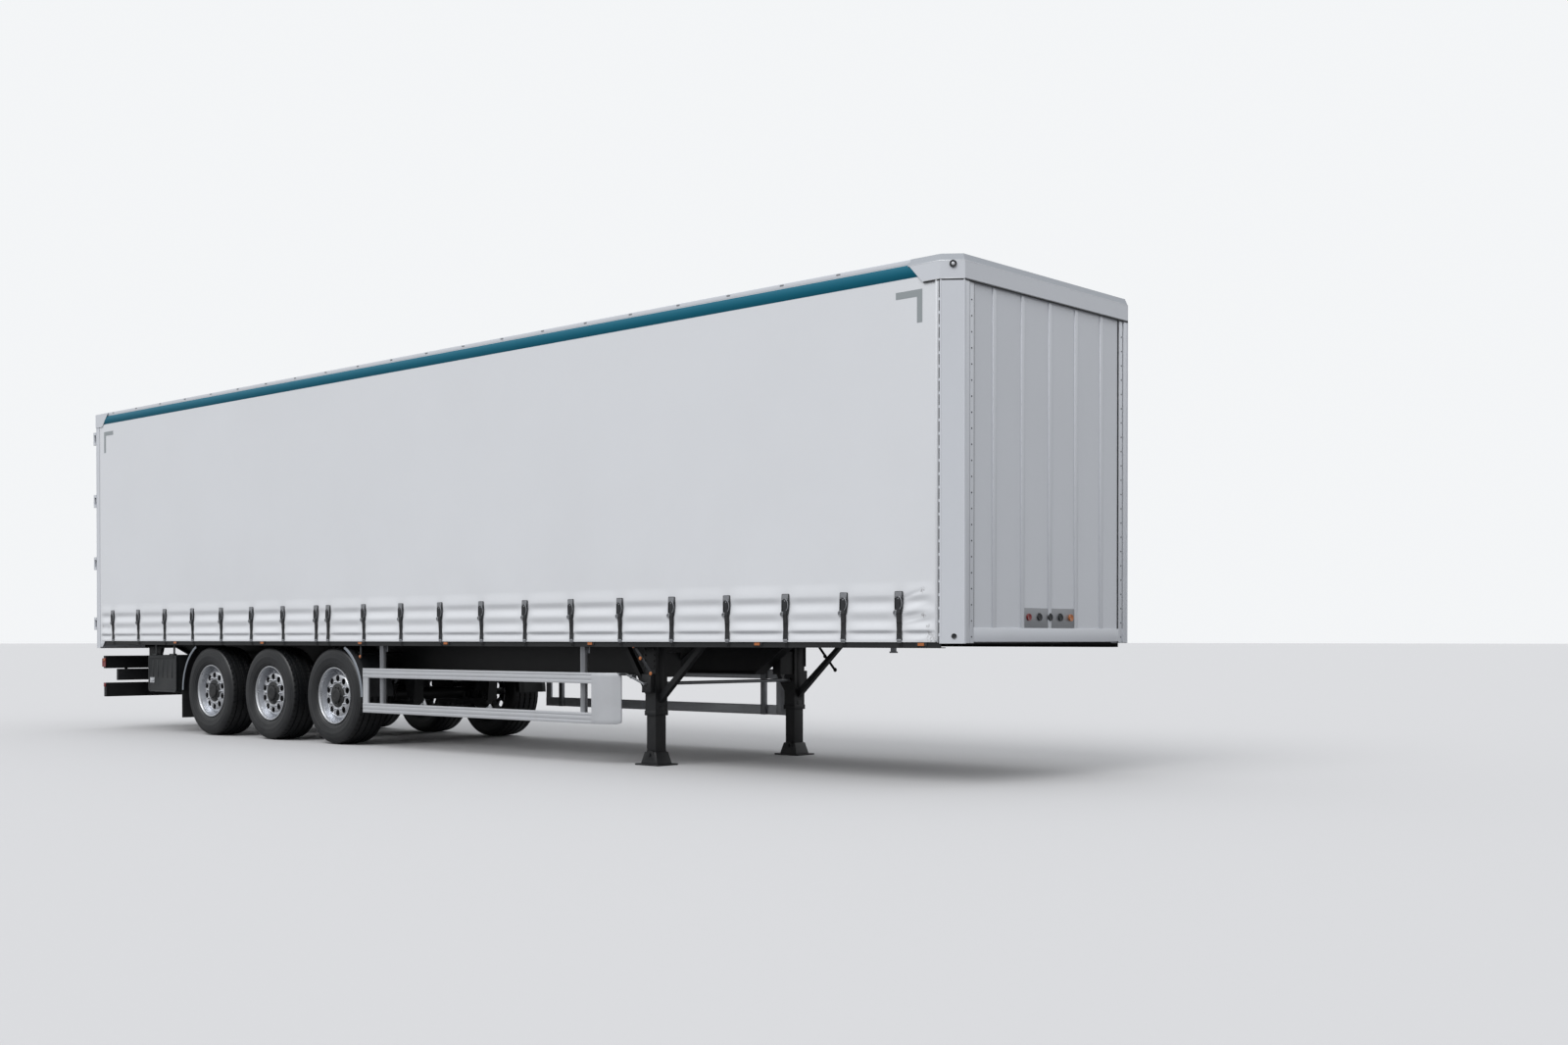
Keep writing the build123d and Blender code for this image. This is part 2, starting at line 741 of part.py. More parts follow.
lath_rear = rear_post_length
with BuildPart() as side_laths:
    for side, y in sides(side_post_inner_y - lath_thickness / 2):
        with BuildSketch(Plane.XZ.offset(-y)):
            with Locations(*[
                (from_rear((lath_rear + side_rail_front) / 2), height) for height in lath_heights
            ]):
                Rectangle(side_rail_front - lath_rear, lath_height)
        extrude(amount=lath_thickness / 2, both=True)
finish(side_laths.part, "side_laths")

# Axles: a tube with brake plates and a spindle at each end
with BuildPart() as axles:
    for label, station in axle_stations:
        with BuildSketch(Plane.XZ):
            with Locations((from_rear(station), wheel_radius)):
                Circle(axle_radius)
        extrude(amount=axle_tube_end_y, both=True)
        with BuildSketch(Plane.XZ):
            with Locations((from_rear(station), wheel_radius)):
                Circle(spindle_radius)
        extrude(amount=spindle_end_y, both=True)
        for side, y in sides(axle_tube_end_y - brake_plate_thickness / 2):
            with BuildSketch(Plane.XZ.offset(-y)):
                with Locations((from_rear(station), wheel_radius)):
                    Circle(brake_plate_radius)
            extrude(amount=brake_plate_thickness / 2, both=True)
finish(axles.part, "axles")

# Suspension: hangers below the rails and trailing arms that carry the axles
arm_top_z = wheel_radius - axle_radius
with BuildPart() as suspension_arms:
    for label, station in axle_stations:
        for side, y in sides(arm_y):
            hanger_x = from_rear(station + hanger_ahead)
            with BuildSketch(Plane.XZ.offset(-y)):
                Polygon(
                    (hanger_x - hanger_length, rail_bottom_z),
                    (hanger_x + hanger_length / 2, rail_bottom_z),
                    (hanger_x + hanger_length / 3, hanger_bottom_z),
                    (hanger_x - hanger_length / 3, hanger_bottom_z),
                    align=None,
                )
            extrude(amount=hanger_width / 2, both=True)
            with BuildSketch(Plane.XZ.offset(-y)):
                with Locations((
                    from_rear(station + (hanger_ahead - spring_behind) / 2),
                    arm_top_z - arm_height / 2,
                )):
                    Rectangle(hanger_ahead + spring_behind, arm_height)
            extrude(amount=arm_width / 2, both=True)
            with BuildSketch(Plane.XY.offset(arm_top_z)):
                with Locations((from_rear(station) - spring_behind, y)):
                    Circle(spring_radius)
            extrude(amount=spring_plate_thickness)
finish(suspension_arms.part, "suspension_arms")

# Air springs between the arms and the rails
spring_bottom_z = arm_top_z + spring_plate_thickness
with BuildPart() as air_springs:
    for label, station in axle_stations:
        for side, y in sides(arm_y):
            spring_x = from_rear(station) - spring_behind
            with BuildSketch(Plane.XY.offset(spring_bottom_z)):
                with Locations((spring_x, y)):
                    Circle(spring_radius - spring_plate_overhang)
            extrude(amount=rail_bottom_z - spring_bottom_z)
finish(air_springs.part, "air_springs")

# Wheels: rim with flanges, dished disc with hand holes, hub, and the tyre, for each axle end
half_rim = rim_width / 2
half_tyre = tyre_width / 2
rim_inner_radius = tyre_bead_radius - rim_thickness
disc_y = disc_face_y - wheel_y
hub_inner_y = axle_tube_end_y + hub_inner_gap
bore_end_y = spindle_end_y + spindle_clearance
# Half sections, at one side of the axle: distance outwards from the wheel's middle, radius
rim_section = (
    (-half_rim - rim_flange_width, rim_inner_radius),
    (half_rim + rim_flange_width, rim_inner_radius),
    (half_rim + rim_flange_width, rim_flange_radius),
    (half_rim, rim_flange_radius),
    (half_rim, tyre_bead_radius),
    (-half_rim, tyre_bead_radius),
    (-half_rim, rim_flange_radius),
    (-half_rim - rim_flange_width, rim_flange_radius),
)
disc_section = (
    (disc_y - dish_depth, rim_inner_radius),
    (disc_y, dish_radius),
    (disc_y, 0.0),
    (disc_y - disc_thickness, 0.0),
    (disc_y - disc_thickness, dish_radius),
    (disc_y - dish_depth - disc_thickness, rim_inner_radius),
)
hub_section = (
    (hub_inner_y - wheel_y, 0.0),
    (hub_inner_y - wheel_y, hub_radius),
    (disc_y - disc_thickness / 2, hub_radius),
    (disc_y - disc_thickness / 2, hub_cap_radius),
    (hub_reach - wheel_y, hub_cap_radius),
    (hub_reach - wheel_y, 0.0),
)
for label, station in axle_stations:
    for side, side_name in ((-1, "right"), (1, "left")):
        wheel_plane = Plane(
            origin=(from_rear(station), side * wheel_y, wheel_radius),
            x_dir=(0, side, 0),
            z_dir=(side, 0, 0),
        )
        wheel_axis = Axis((from_rear(station), side * wheel_y, wheel_radius), (0, 1, 0))
        with BuildPart() as wheel:
            with BuildSketch(wheel_plane):
                for section in (rim_section, disc_section, hub_section):
                    Polygon(*section, align=None)
            revolve(axis=wheel_axis)
            with BuildSketch(Plane.XZ.offset(-side * disc_face_y)):
                with Locations((from_rear(station), wheel_radius)):
                    with PolarLocations(hand_hole_circle, hand_hole_count):
                        Circle(hand_hole_radius)
            extrude(amount=side * (dish_depth + disc_thickness), mode=Mode.SUBTRACT)
            with BuildSketch(Plane.XZ.offset(-side * (hub_inner_y + bore_end_y) / 2)):
                with Locations((from_rear(station), wheel_radius)):
                    Circle(spindle_radius + spindle_clearance)
            extrude(amount=(bore_end_y - hub_inner_y) / 2, both=True, mode=Mode.SUBTRACT)
        finish(wheel.part, f"wheel_{label}_{side_name}")

        tread_edge = half_tyre - tyre_shoulder
        tread_y = half_tyre - 2 * tyre_shoulder
        shoulder_radius = wheel_radius - tyre_crown_drop
        wall_radius = (rim_flange_radius + wheel_radius) / 2
        bead_y = half_rim - bead_gap
        with BuildPart() as tyre:
            with BuildSketch(wheel_plane):
                with BuildLine():
                    Polyline(
                        (-bead_y, rim_flange_radius),
                        (-bead_y, tyre_bead_radius),
                        (bead_y, tyre_bead_radius),
                        (bead_y, rim_flange_radius),
                    )
                    ThreePointArc(
                        (bead_y, rim_flange_radius),
                        (half_tyre, wall_radius),
                        (tread_edge, shoulder_radius),
                    )
                    Polyline(
                        (tread_edge, shoulder_radius),
                        (tread_y, wheel_radius),
                        (-tread_y, wheel_radius),
                        (-tread_edge, shoulder_radius),
                    )
                    ThreePointArc(
                        (-tread_edge, shoulder_radius),
                        (-half_tyre, wall_radius),
                        (-bead_y, rim_flange_radius),
                    )
                make_face()
            revolve(axis=wheel_axis)
        finish(tyre.part, f"tyre_{label}_{side_name}")

# Mudguards: a quarter arc ahead of the front wheels and one behind the rear wheels
guard_width = guard_outer_y - guard_inner_y
guard_mid_y = (guard_outer_y + guard_inner_y) / 2
front_axle_x = from_rear(axle_stations[0][1])
rear_axle_x = from_rear(axle_stations[2][1])
guard_outer_radius = guard_radius + guard_thickness
arc_top = asin((side_rail_bottom_z - guard_rail_gap - wheel_radius) / guard_outer_radius)
arc_middle = arc_top / 2
with BuildPart() as mudguards:
    for axle_x, way in ((front_axle_x, 1), (rear_axle_x, -1)):
        for side, y in sides(guard_mid_y):
            with BuildSketch(Plane.XZ.offset(-y)):
                with BuildLine():
                    for radius in (guard_radius, guard_outer_radius):
                        ThreePointArc(
                            (axle_x + way * radius * cos(arc_top), wheel_radius + radius * sin(arc_top)),
                            (
                                axle_x + way * radius * cos(arc_middle),
                                wheel_radius + radius * sin(arc_middle),
                            ),
                            (axle_x + way * radius, wheel_radius),
                        )
                    Line(
                        (axle_x + way * guard_radius, wheel_radius),
                        (axle_x + way * guard_outer_radius, wheel_radius),
                    )
                    Line(
                        (
                            axle_x + way * guard_radius * cos(arc_top),
                            wheel_radius + guard_radius * sin(arc_top),
                        ),
                        (
                            axle_x + way * guard_outer_radius * cos(arc_top),
                            wheel_radius + guard_outer_radius * sin(arc_top),
                        ),
                    )
                make_face()
            extrude(amount=guard_width / 2, both=True)
            # Bracket from the guard's inner edge to the main rail
            bracket_z = wheel_radius + guard_radius * sin(guard_bracket_angle)
            bracket_x = axle_x + way * guard_radius * cos(guard_bracket_angle)
            bracket_outer_y = guard_outer_y - guard_bracket_inset
            with BuildSketch(Plane.XZ.offset(-side * (web_outer_y + bracket_outer_y) / 2)):
                with Locations((bracket_x, bracket_z)):
                    Circle(guard_bracket_radius)
            extrude(amount=(bracket_outer_y - web_outer_y) / 2, both=True)
finish(mudguards.part, "mudguards")

# Mud flaps behind the rear wheels
with BuildPart() as mud_flaps:
    flap_x = rear_axle_x - guard_radius - guard_thickness - flap_thickness / 2
    for side, y in sides(guard_mid_y):
        with BuildSketch(Plane.YZ.offset(flap_x)):
            with Locations((y, (flap_bottom_z + flap_top_z) / 2)):
                Rectangle(flap_width, flap_top_z - flap_bottom_z)
        extrude(amount=flap_thickness / 2, both=True)
finish(mud_flaps.part, "mud_flaps")

# Landing legs: square housings with brackets to the rails
leg_x = from_rear(leg_station)
with BuildPart() as leg_housings:
    for side, y in sides(leg_y):
        with BuildSketch(Plane.XY.offset(leg_bottom_z)):
            with Locations((leg_x, y)):
                Rectangle(leg_length, leg_width)
                Rectangle(leg_length - 2 * leg_wall, leg_width - 2 * leg_wall, mode=Mode.SUBTRACT)
        extrude(amount=leg_top_z - leg_bottom_z)
        with BuildSketch(Plane.XY.offset(leg_top_z)):
            with Locations((leg_x, y)):
                Rectangle(leg_length, leg_width)
        extrude(amount=leg_wall)
        # Bracket plate from the housing to the rail's web
        bracket_inner_y = rail_y + rail_width / 2
        bracket_outer_y = leg_y - leg_width / 2
        with BuildSketch(Plane.YZ.offset(leg_x)):
            with Locations((
                side * (bracket_inner_y + bracket_outer_y) / 2,
                rail_bottom_z + leg_bracket_height / 2,
            )):
                Rectangle(bracket_outer_y - bracket_inner_y, leg_bracket_height)
        extrude(amount=brace_width, both=True)
finish(leg_housings.part, "leg_housings")

# Inner legs, wound down, with a trapezoid foot each
with BuildPart() as landing_feet:
    for side, y in sides(leg_y):
        with BuildSketch(Plane.XY.offset(foot_height)):
            with Locations((leg_x, y)):
                Rectangle(
                    leg_length - 2 * leg_wall - 2 * inner_leg_gap,
                    leg_width - 2 * leg_wall - 2 * inner_leg_gap,
                )
        extrude(amount=inner_leg_top_z - foot_height)
        with BuildSketch(Plane.XZ.offset(-y)):
            Polygon(
                (leg_x - foot_length / 2, 0),
                (leg_x + foot_length / 2, 0),
                (leg_x + foot_length / 2, foot_plate_thickness),
                (leg_x + leg_length / 2, foot_height + foot_socket_height),
                (leg_x - leg_length / 2, foot_height + foot_socket_height),
                (leg_x - foot_length / 2, foot_plate_thickness),
                align=None,
            )
        extrude(amount=foot_width / 2, both=True)
finish(landing_feet.part, "landing_feet")

# Cross shaft between the legs
with BuildPart() as leg_shaft:
    shaft_half = leg_y - leg_width / 2
    with BuildSketch(Plane.XZ):
        with Locations((leg_x, leg_shaft_z)):
            Circle(leg_shaft_radius)
    extrude(amount=shaft_half, both=True)
finish(leg_shaft.part, "leg_shaft")

# Leg braces: diagonal struts fore and aft from the housings up to the nearest cross members
cross_bottom_z = floor_bottom_z - cross_member_height
brace_stations = (
    (-1, max(station for station in cross_stations if station < leg_station - brace_reach)),
    (1, min(station for station in cross_stations if station > leg_station + brace_reach)),
)
with BuildPart() as leg_braces:
    for side, y in sides(leg_y):
        for way, station in brace_stations:
            low_x = leg_x + way * leg_length / 2
            high_x = from_rear(station)
            with BuildSketch(Plane.XZ.offset(-y)):
                Polygon(
                    (low_x, brace_low_z),
                    (low_x, brace_low_z + brace_depth),
                    (high_x - way * brace_width / 2, cross_bottom_z),
                    (high_x + way * brace_width / 2, cross_bottom_z),
                    align=None,
                )
            extrude(amount=brace_width / 2, both=True)
finish(leg_braces.part, "leg_braces")

# Side guards: two rails on each side that run from an upright to a nose, which curves inwards
guard_bottom_z = side_guard_rails[1][0]
guard_top_z = side_guard_rails[0][0] + side_guard_rails[0][1]
guard_rail_front = side_guard_front - side_guard_nose
guard_inside_y = side_guard_outer_y - side_guard_thickness
nose_x = from_rear(side_guard_front)
nose_middle_x = from_rear(guard_rail_front + side_guard_nose * nose_middle_share)
nose_middle_inset = side_guard_nose_inset * nose_middle_share**2
with BuildPart() as side_guards:
    for side, y in sides(side_guard_outer_y - side_guard_thickness / 2):
        with BuildSketch(Plane.XZ.offset(-y)):
            for bottom_z, depth in side_guard_rails:
                with Locations((
                    from_rear((side_guard_rear + guard_rail_front) / 2),
                    bottom_z + depth / 2,
                )):
                    Rectangle(guard_rail_front - side_guard_rear, depth)
            with Locations((
                from_rear(side_guard_rear + side_guard_upright / 2),
                (guard_bottom_z + guard_top_z) / 2,
            )):
                Rectangle(side_guard_upright, guard_top_z - guard_bottom_z)
        extrude(amount=side_guard_thickness / 2, both=True)
        # The nose in plan: two like curves, one thickness apart
        with BuildSketch(Plane.XY.offset(guard_bottom_z)):
            with BuildLine():
                for face_y in (side_guard_outer_y, guard_inside_y):
                    ThreePointArc(
                        (from_rear(guard_rail_front), side * face_y),
                        (nose_middle_x, side * (face_y - nose_middle_inset)),
                        (nose_x, side * (face_y - side_guard_nose_inset)),
                    )
                for end_x, inset in ((from_rear(guard_rail_front), 0.0), (nose_x, side_guard_nose_inset)):
                    Line(
                        (end_x, side * (side_guard_outer_y - inset)),
                        (end_x, side * (guard_inside_y - inset)),
                    )
            make_face()
        extrude(amount=guard_top_z - guard_bottom_z)
        post_y = guard_inside_y - side_guard_post_depth / 2
        for station in side_guard_posts:
            with BuildSketch(Plane.XZ.offset(-side * post_y)):
                with Locations((from_rear(station), (guard_bottom_z + side_rail_bottom_z) / 2)):
                    Rectangle(side_guard_post_length, side_rail_bottom_z - guard_bottom_z)
            extrude(amount=side_guard_post_depth / 2, both=True)
finish(side_guards.part, "side_guards")

# Underrun bar on two hangers from the rails
with BuildPart() as underrun_bar:
    with BuildSketch(Plane.YZ.offset(from_rear(underrun_front - underrun_depth))):
        with Locations((0, underrun_bottom_z + underrun_height / 2)):
            Rectangle(2 * rear_bar_half_width, underrun_height)
    extrude(amount=underrun_depth)
    for side, y in sides(rail_y):
        with BuildSketch(Plane.XZ.offset(-y)):
            Polygon(
                (from_rear(underrun_front), underrun_bottom_z + bar_hanger_lift),
                (from_rear(underrun_front + bar_hanger_foot), underrun_bottom_z + bar_hanger_lift),
                (from_rear(underrun_front + bar_hanger_top), rail_rear_z),
                (from_rear(underrun_front), rail_rear_z),
                align=None,
            )
        extrude(amount=bar_hanger_thickness / 2, both=True)
finish(underrun_bar.part, "underrun_bar")

# Light bar across the rear, carried by the hangers
light_bar_rear = light_bar_front - light_bar_depth
with BuildPart() as light_bar:
    with BuildSketch(Plane.YZ.offset(from_rear(light_bar_rear))):
        with Locations((0, light_bar_bottom_z + light_bar_height / 2)):
            Rectangle(2 * rear_bar_half_width, light_bar_height)
    extrude(amount=light_bar_depth)
    for side, y in sides(rail_y):
        with BuildSketch(Plane.YZ.offset(from_rear(light_bar_front))):
            with Locations((y, light_bar_bottom_z + light_bar_height / 2)):
                Rectangle(bar_hanger_thickness, light_bar_height)
        extrude(amount=underrun_front - light_bar_front)
finish(light_bar.part, "light_bar")

# Rear lamp clusters on the light bar
with BuildPart() as rear_lamps:
    for side, y in sides(rear_bar_half_width - rear_lamp_inset - rear_lamp_width / 2):
        with BuildSketch(Plane.YZ.offset(from_rear(light_bar_rear - rear_lamp_depth))):
            with Locations((y, light_bar_bottom_z + light_bar_height / 2)):
                Rectangle(rear_lamp_width, rear_lamp_height)
        extrude(amount=rear_lamp_depth)
finish(rear_lamps.part, "rear_lamps")

# Toolbox: a shell open at the side, with a lid hinged along its upper edge
toolbox_x = from_rear((toolbox_rear + toolbox_front) / 2)
toolbox_mid_z = (toolbox_bottom_z + toolbox_top_z) / 2
toolbox_height = toolbox_top_z - toolbox_bottom_z
lid_inner_y = toolbox_outer_y - toolbox_lid_thickness
shell_outer_y = lid_inner_y - toolbox_gap
toolbox_hinge_z = toolbox_top_z + toolbox_hinge_radius
toolbox_lug_offset = (toolbox_knuckle_length + toolbox_knuckle_length / 2) / 2 + hinge_gap
with BuildPart() as toolbox:
    with BuildSketch(Plane.XZ.offset(shell_outer_y)):
        with Locations((toolbox_x, toolbox_mid_z)):
            Rectangle(toolbox_length, toolbox_height)
    extrude(amount=-toolbox_depth)
    with BuildSketch(Plane.XZ.offset(shell_outer_y)):
        with Locations((toolbox_x, toolbox_mid_z)):
            Rectangle(toolbox_length - 2 * toolbox_wall, toolbox_height - 2 * toolbox_wall)
    extrude(amount=-(toolbox_depth - toolbox_wall), mode=Mode.SUBTRACT)
    # Hangers up to the cross members' level
    for station in (toolbox_rear + toolbox_hanger_inset, toolbox_front - toolbox_hanger_inset):
        with BuildSketch(Plane.XZ.offset(side_rail_inner_y)):
            with Locations((from_rear(station), (toolbox_top_z + side_rail_bottom_z) / 2)):
                Rectangle(toolbox_hanger_width, side_rail_bottom_z - toolbox_top_z)
        extrude(amount=toolbox_wall)
    for station in toolbox_hinge_stations:
        for lug_x in (from_rear(station) - toolbox_lug_offset, from_rear(station) + toolbox_lug_offset):
            with BuildSketch(Plane.YZ.offset(lug_x)):
                with Locations((-lid_inner_y, toolbox_hinge_z)):
                    Circle(toolbox_hinge_radius)
                with Locations((-lid_inner_y + toolbox_lug_reach / 2, toolbox_hinge_z)):
                    Rectangle(toolbox_lug_reach, toolbox_hinge_radius * 2)
            extrude(amount=toolbox_knuckle_length / 4, both=True)
        with BuildSketch(Plane.YZ.offset(from_rear(station))):
            with Locations((-lid_inner_y, toolbox_hinge_z)):
                Circle(toolbox_pin_radius)
        extrude(amount=toolbox_lug_offset, both=True)
finish(toolbox.part, "toolbox")

with BuildPart() as toolbox_lid:
    with BuildSketch(Plane.XZ.offset(lid_inner_y)):
        with Locations((toolbox_x, toolbox_mid_z - toolbox_lid_drop / 2)):
            Rectangle(toolbox_length, toolbox_height - toolbox_lid_drop)
    extrude(amount=toolbox_lid_thickness)
    for station in toolbox_hinge_stations:
        with BuildSketch(Plane.YZ.offset(from_rear(station))):
            with Locations((-lid_inner_y, toolbox_hinge_z)):
                Circle(toolbox_hinge_radius)
            with Locations((
                -lid_inner_y - toolbox_hinge_radius / 2,
                toolbox_hinge_z - toolbox_hinge_radius,
            )):
                Rectangle(toolbox_hinge_radius, 2 * toolbox_hinge_radius)
            with Locations((-lid_inner_y, toolbox_hinge_z)):
                Circle(toolbox_pin_radius + spindle_clearance, mode=Mode.SUBTRACT)
        extrude(amount=toolbox_knuckle_length / 2, both=True)
finish(toolbox_lid.part, "toolbox_lid")

# Air tanks across the chassis, ahead of the bogie
with BuildPart() as air_tanks:
    for distance in tank_behind_legs:
        with BuildSketch(Plane.XZ):
            with Locations((leg_x - distance, tank_z)):
                Circle(tank_radius)
        extrude(amount=rail_y - web_thickness / 2, both=True)
finish(air_tanks.part, "air_tanks")

# Side marker lamps on the side rails, just below the curtains
with BuildPart() as side_lamps:
    for side, y in sides(side_rail_outer_y + lamp_thickness / 2):
        with BuildSketch(Plane.XZ.offset(-y)):
            with Locations(*[
                (from_rear(station), curtain_bottom_z - lamp_height / 2 - hinge_gap)
                for station in lamp_stations
            ]):
                Rectangle(lamp_length, lamp_height)
        extrude(amount=lamp_thickness / 2, both=True)
finish(side_lamps.part, "side_lamps")

# Dock buffers on the sill's lower corners
with BuildPart() as dock_buffers:
    for side, y in sides(buffer_y):
        with BuildSketch(Plane.YZ.offset(rear_x)):
            with Locations((y, rear_bottom_z + buffer_height / 2)):
                Rectangle(buffer_width, buffer_height)
        extrude(amount=-buffer_reach)
finish(dock_buffers.part, "dock_buffers")

# Air and electric couplings on the front wall
with BuildPart() as front_couplings:
    for y in coupling_places:
        with BuildSketch(Plane.YZ.offset(front_wall_x + wall_thickness)):
            with Locations((y, coupling_z)):
                Circle(coupling_radius)
        extrude(amount=front_wall_inset)
finish(front_couplings.part, "front_couplings")
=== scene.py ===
import json
from math import atan2, cos, exp, pi, radians, sin, sqrt, tan

import bpy
from mathutils import Matrix, Vector


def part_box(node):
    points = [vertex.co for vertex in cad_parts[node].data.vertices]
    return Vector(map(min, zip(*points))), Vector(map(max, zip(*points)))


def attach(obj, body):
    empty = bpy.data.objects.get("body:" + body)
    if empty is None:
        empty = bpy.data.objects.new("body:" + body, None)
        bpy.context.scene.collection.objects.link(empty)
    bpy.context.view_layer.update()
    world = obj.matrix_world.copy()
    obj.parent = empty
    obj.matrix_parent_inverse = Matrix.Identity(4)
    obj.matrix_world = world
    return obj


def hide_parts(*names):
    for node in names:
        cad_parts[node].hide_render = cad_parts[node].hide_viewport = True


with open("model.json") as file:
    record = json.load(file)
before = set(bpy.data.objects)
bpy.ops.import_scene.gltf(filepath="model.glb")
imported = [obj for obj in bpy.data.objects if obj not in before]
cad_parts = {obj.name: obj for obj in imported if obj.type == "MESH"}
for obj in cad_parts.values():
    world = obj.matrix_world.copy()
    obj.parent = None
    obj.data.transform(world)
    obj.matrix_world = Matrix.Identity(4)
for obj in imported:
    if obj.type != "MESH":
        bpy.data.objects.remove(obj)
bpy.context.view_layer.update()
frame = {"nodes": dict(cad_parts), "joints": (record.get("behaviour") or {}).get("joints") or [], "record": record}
slotOf = {part["node"]: part["material_slot"] for part in frame["record"]["subparts"]}
hingeReach = 0.0725   # the hinge lugs reach this far behind the body
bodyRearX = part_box("rear_frame")[0].x + hingeReach
sideSigns = {"right": -1, "left": 1}
toFront, toRear, toLeft, toRight = (1, 0, 0), (-1, 0, 0), (0, 1, 0), (0, -1, 0)
upwards, downwards = (0, 0, 1), (0, 0, -1)
print("frame loaded")


# Selecting and placing

def deselectAll():
    for obj in list(bpy.context.selected_objects):
        obj.select_set(False)


def makeActive(obj):
    deselectAll()
    obj.select_set(True)
    bpy.context.view_layer.objects.active = obj


def settle(obj, name):
    makeActive(obj)
    bpy.ops.object.transform_apply(location=True, rotation=True, scale=True)
    obj.name = name
    return obj


def addBox(name, low, high):
    deselectAll()
    centre = [(a + b) / 2 for a, b in zip(low, high)]
    size = [b - a for a, b in zip(low, high)]
    bpy.ops.mesh.primitive_cube_add(size=1, location=centre, scale=size)
    return settle(bpy.context.object, name)


def midBox(name, x, y, half, heights):
    # A box centred on x and y, from its half sizes and its two heights
    return addBox(name, (x - half[0], y - half[1], heights[0]), (x + half[0], y + half[1], heights[1]))


def sideBox(name, side, low, high):
    # A box given as it stands on the left, and mirrored where side is -1
    y0, y1 = sorted((side * low[1], side * high[1]))
    return addBox(name, (low[0], y0, low[2]), (high[0], y1, high[2]))


def addRod(name, start, end, radius, corners=20):
    deselectAll()
    start, end = Vector(start), Vector(end)
    along = end - start
    bpy.ops.mesh.primitive_cylinder_add(
        vertices=corners, radius=radius, depth=along.length, location=(start + end) / 2,
        rotation=along.to_track_quat("Z", "Y").to_euler())
    return settle(bpy.context.object, name)


def editFaces(obj, wanted, action):
    # Runs an edit mode action on the faces whose centre and normal pass the test
    makeActive(obj)
    bpy.context.tool_settings.mesh_select_mode = (False, False, True)
    bpy.ops.object.mode_set(mode="EDIT")
    bpy.ops.mesh.select_all(action="DESELECT")
    bpy.ops.object.mode_set(mode="OBJECT")
    for face in obj.data.polygons:
        face.select = wanted(face.center, face.normal)
    bpy.ops.object.mode_set(mode="EDIT")
    action()
    bpy.ops.object.mode_set(mode="OBJECT")


def editEdges(obj, wanted, action):
    # The same for edges, which are tested by their two ends
    makeActive(obj)
    bpy.context.tool_settings.mesh_select_mode = (False, True, False)
    bpy.ops.object.mode_set(mode="EDIT")
    bpy.ops.mesh.select_all(action="DESELECT")
    bpy.ops.object.mode_set(mode="OBJECT")
    points = obj.data.vertices
    for edge in obj.data.edges:
        edge.select = wanted(points[edge.vertices[0]].co, points[edge.vertices[1]].co)
    bpy.ops.object.mode_set(mode="EDIT")
    action()
    bpy.ops.object.mode_set(mode="OBJECT")


def editAll(obj, action):
    makeActive(obj)
    bpy.ops.object.mode_set(mode="EDIT")
    bpy.ops.mesh.select_all(action="SELECT")
    action()
    bpy.ops.object.mode_set(mode="OBJECT")


def facing(direction, limit=0.9):
    # The test for faces that look in one direction
    wanted = Vector(direction)
    return lambda centre, normal: normal.dot(wanted) > limit


def insetFace(obj, direction, thickness, depth=0.0, limit=0.9):
    editFaces(obj, facing(direction, limit), lambda: bpy.ops.mesh.inset(thickness=thickness, depth=depth))
    return obj


def taperFace(obj, direction, scale):
    editFaces(obj, facing(direction), lambda: bpy.ops.transform.resize(value=scale))
    return obj


def cutLevel(obj, height):
    editAll(obj, lambda: bpy.ops.mesh.bisect(plane_co=(0, 0, height), plane_no=upwards))


def softenEdges(obj, width, segments=2, angle=35):
    bevel = obj.modifiers.new("softEdges", "BEVEL")
    bevel.width = width
    bevel.segments = segments
    bevel.limit_method = "ANGLE"
    bevel.angle_limit = radians(angle)
    makeActive(obj)
    bpy.ops.object.modifier_apply(modifier=bevel.name)
    return obj


def shadeSmooth(obj, angle=35):
    makeActive(obj)
    bpy.ops.object.shade_smooth_by_angle(angle=radians(angle))
    return obj


def fixNormals(obj):
    def recalculate():
        bpy.ops.mesh.remove_doubles(threshold=0.00001)
        bpy.ops.mesh.normals_make_consistent(inside=False)
    editAll(obj, recalculate)
    return obj


def thicken(obj, thickness, offset=0, even=False):
    # Gives a sheet its wall, half of it to each side unless the offset says otherwise
    wall = obj.modifiers.new("sheetWall", "SOLIDIFY")
    wall.thickness = thickness
    wall.offset = offset
    wall.use_even_offset = even
    makeActive(obj)
    bpy.ops.object.modifier_apply(modifier=wall.name)
    return obj


def turnToSide(obj, side):
    # A piece made on the left goes over to the right where side is -1
    if side < 0:
        obj.data.transform(Matrix.Scale(-1, 4, toLeft))
        obj.data.flip_normals()
    return obj


def joinAll(objects, name):
    deselectAll()
    for obj in objects:
        obj.select_set(True)
    bpy.context.view_layer.objects.active = objects[0]
    if len(objects) > 1:
        bpy.ops.object.join()
    objects[0].name = name
    return objects[0]


def extrudeBy(step):
    bpy.ops.mesh.extrude_region_move(TRANSFORM_OT_translate={"value": step})


def startPoint(spot):
    # A new mesh of one point, left in edit mode to be extruded
    deselectAll()
    bpy.ops.mesh.primitive_plane_add(size=0.01)
    bpy.context.tool_settings.mesh_select_mode = (True, False, False)
    bpy.ops.object.mode_set(mode="EDIT")
    bpy.ops.mesh.select_all(action="SELECT")
    bpy.ops.mesh.merge(type="CENTER")
    bpy.ops.transform.translate(value=spot)
    return bpy.context.object


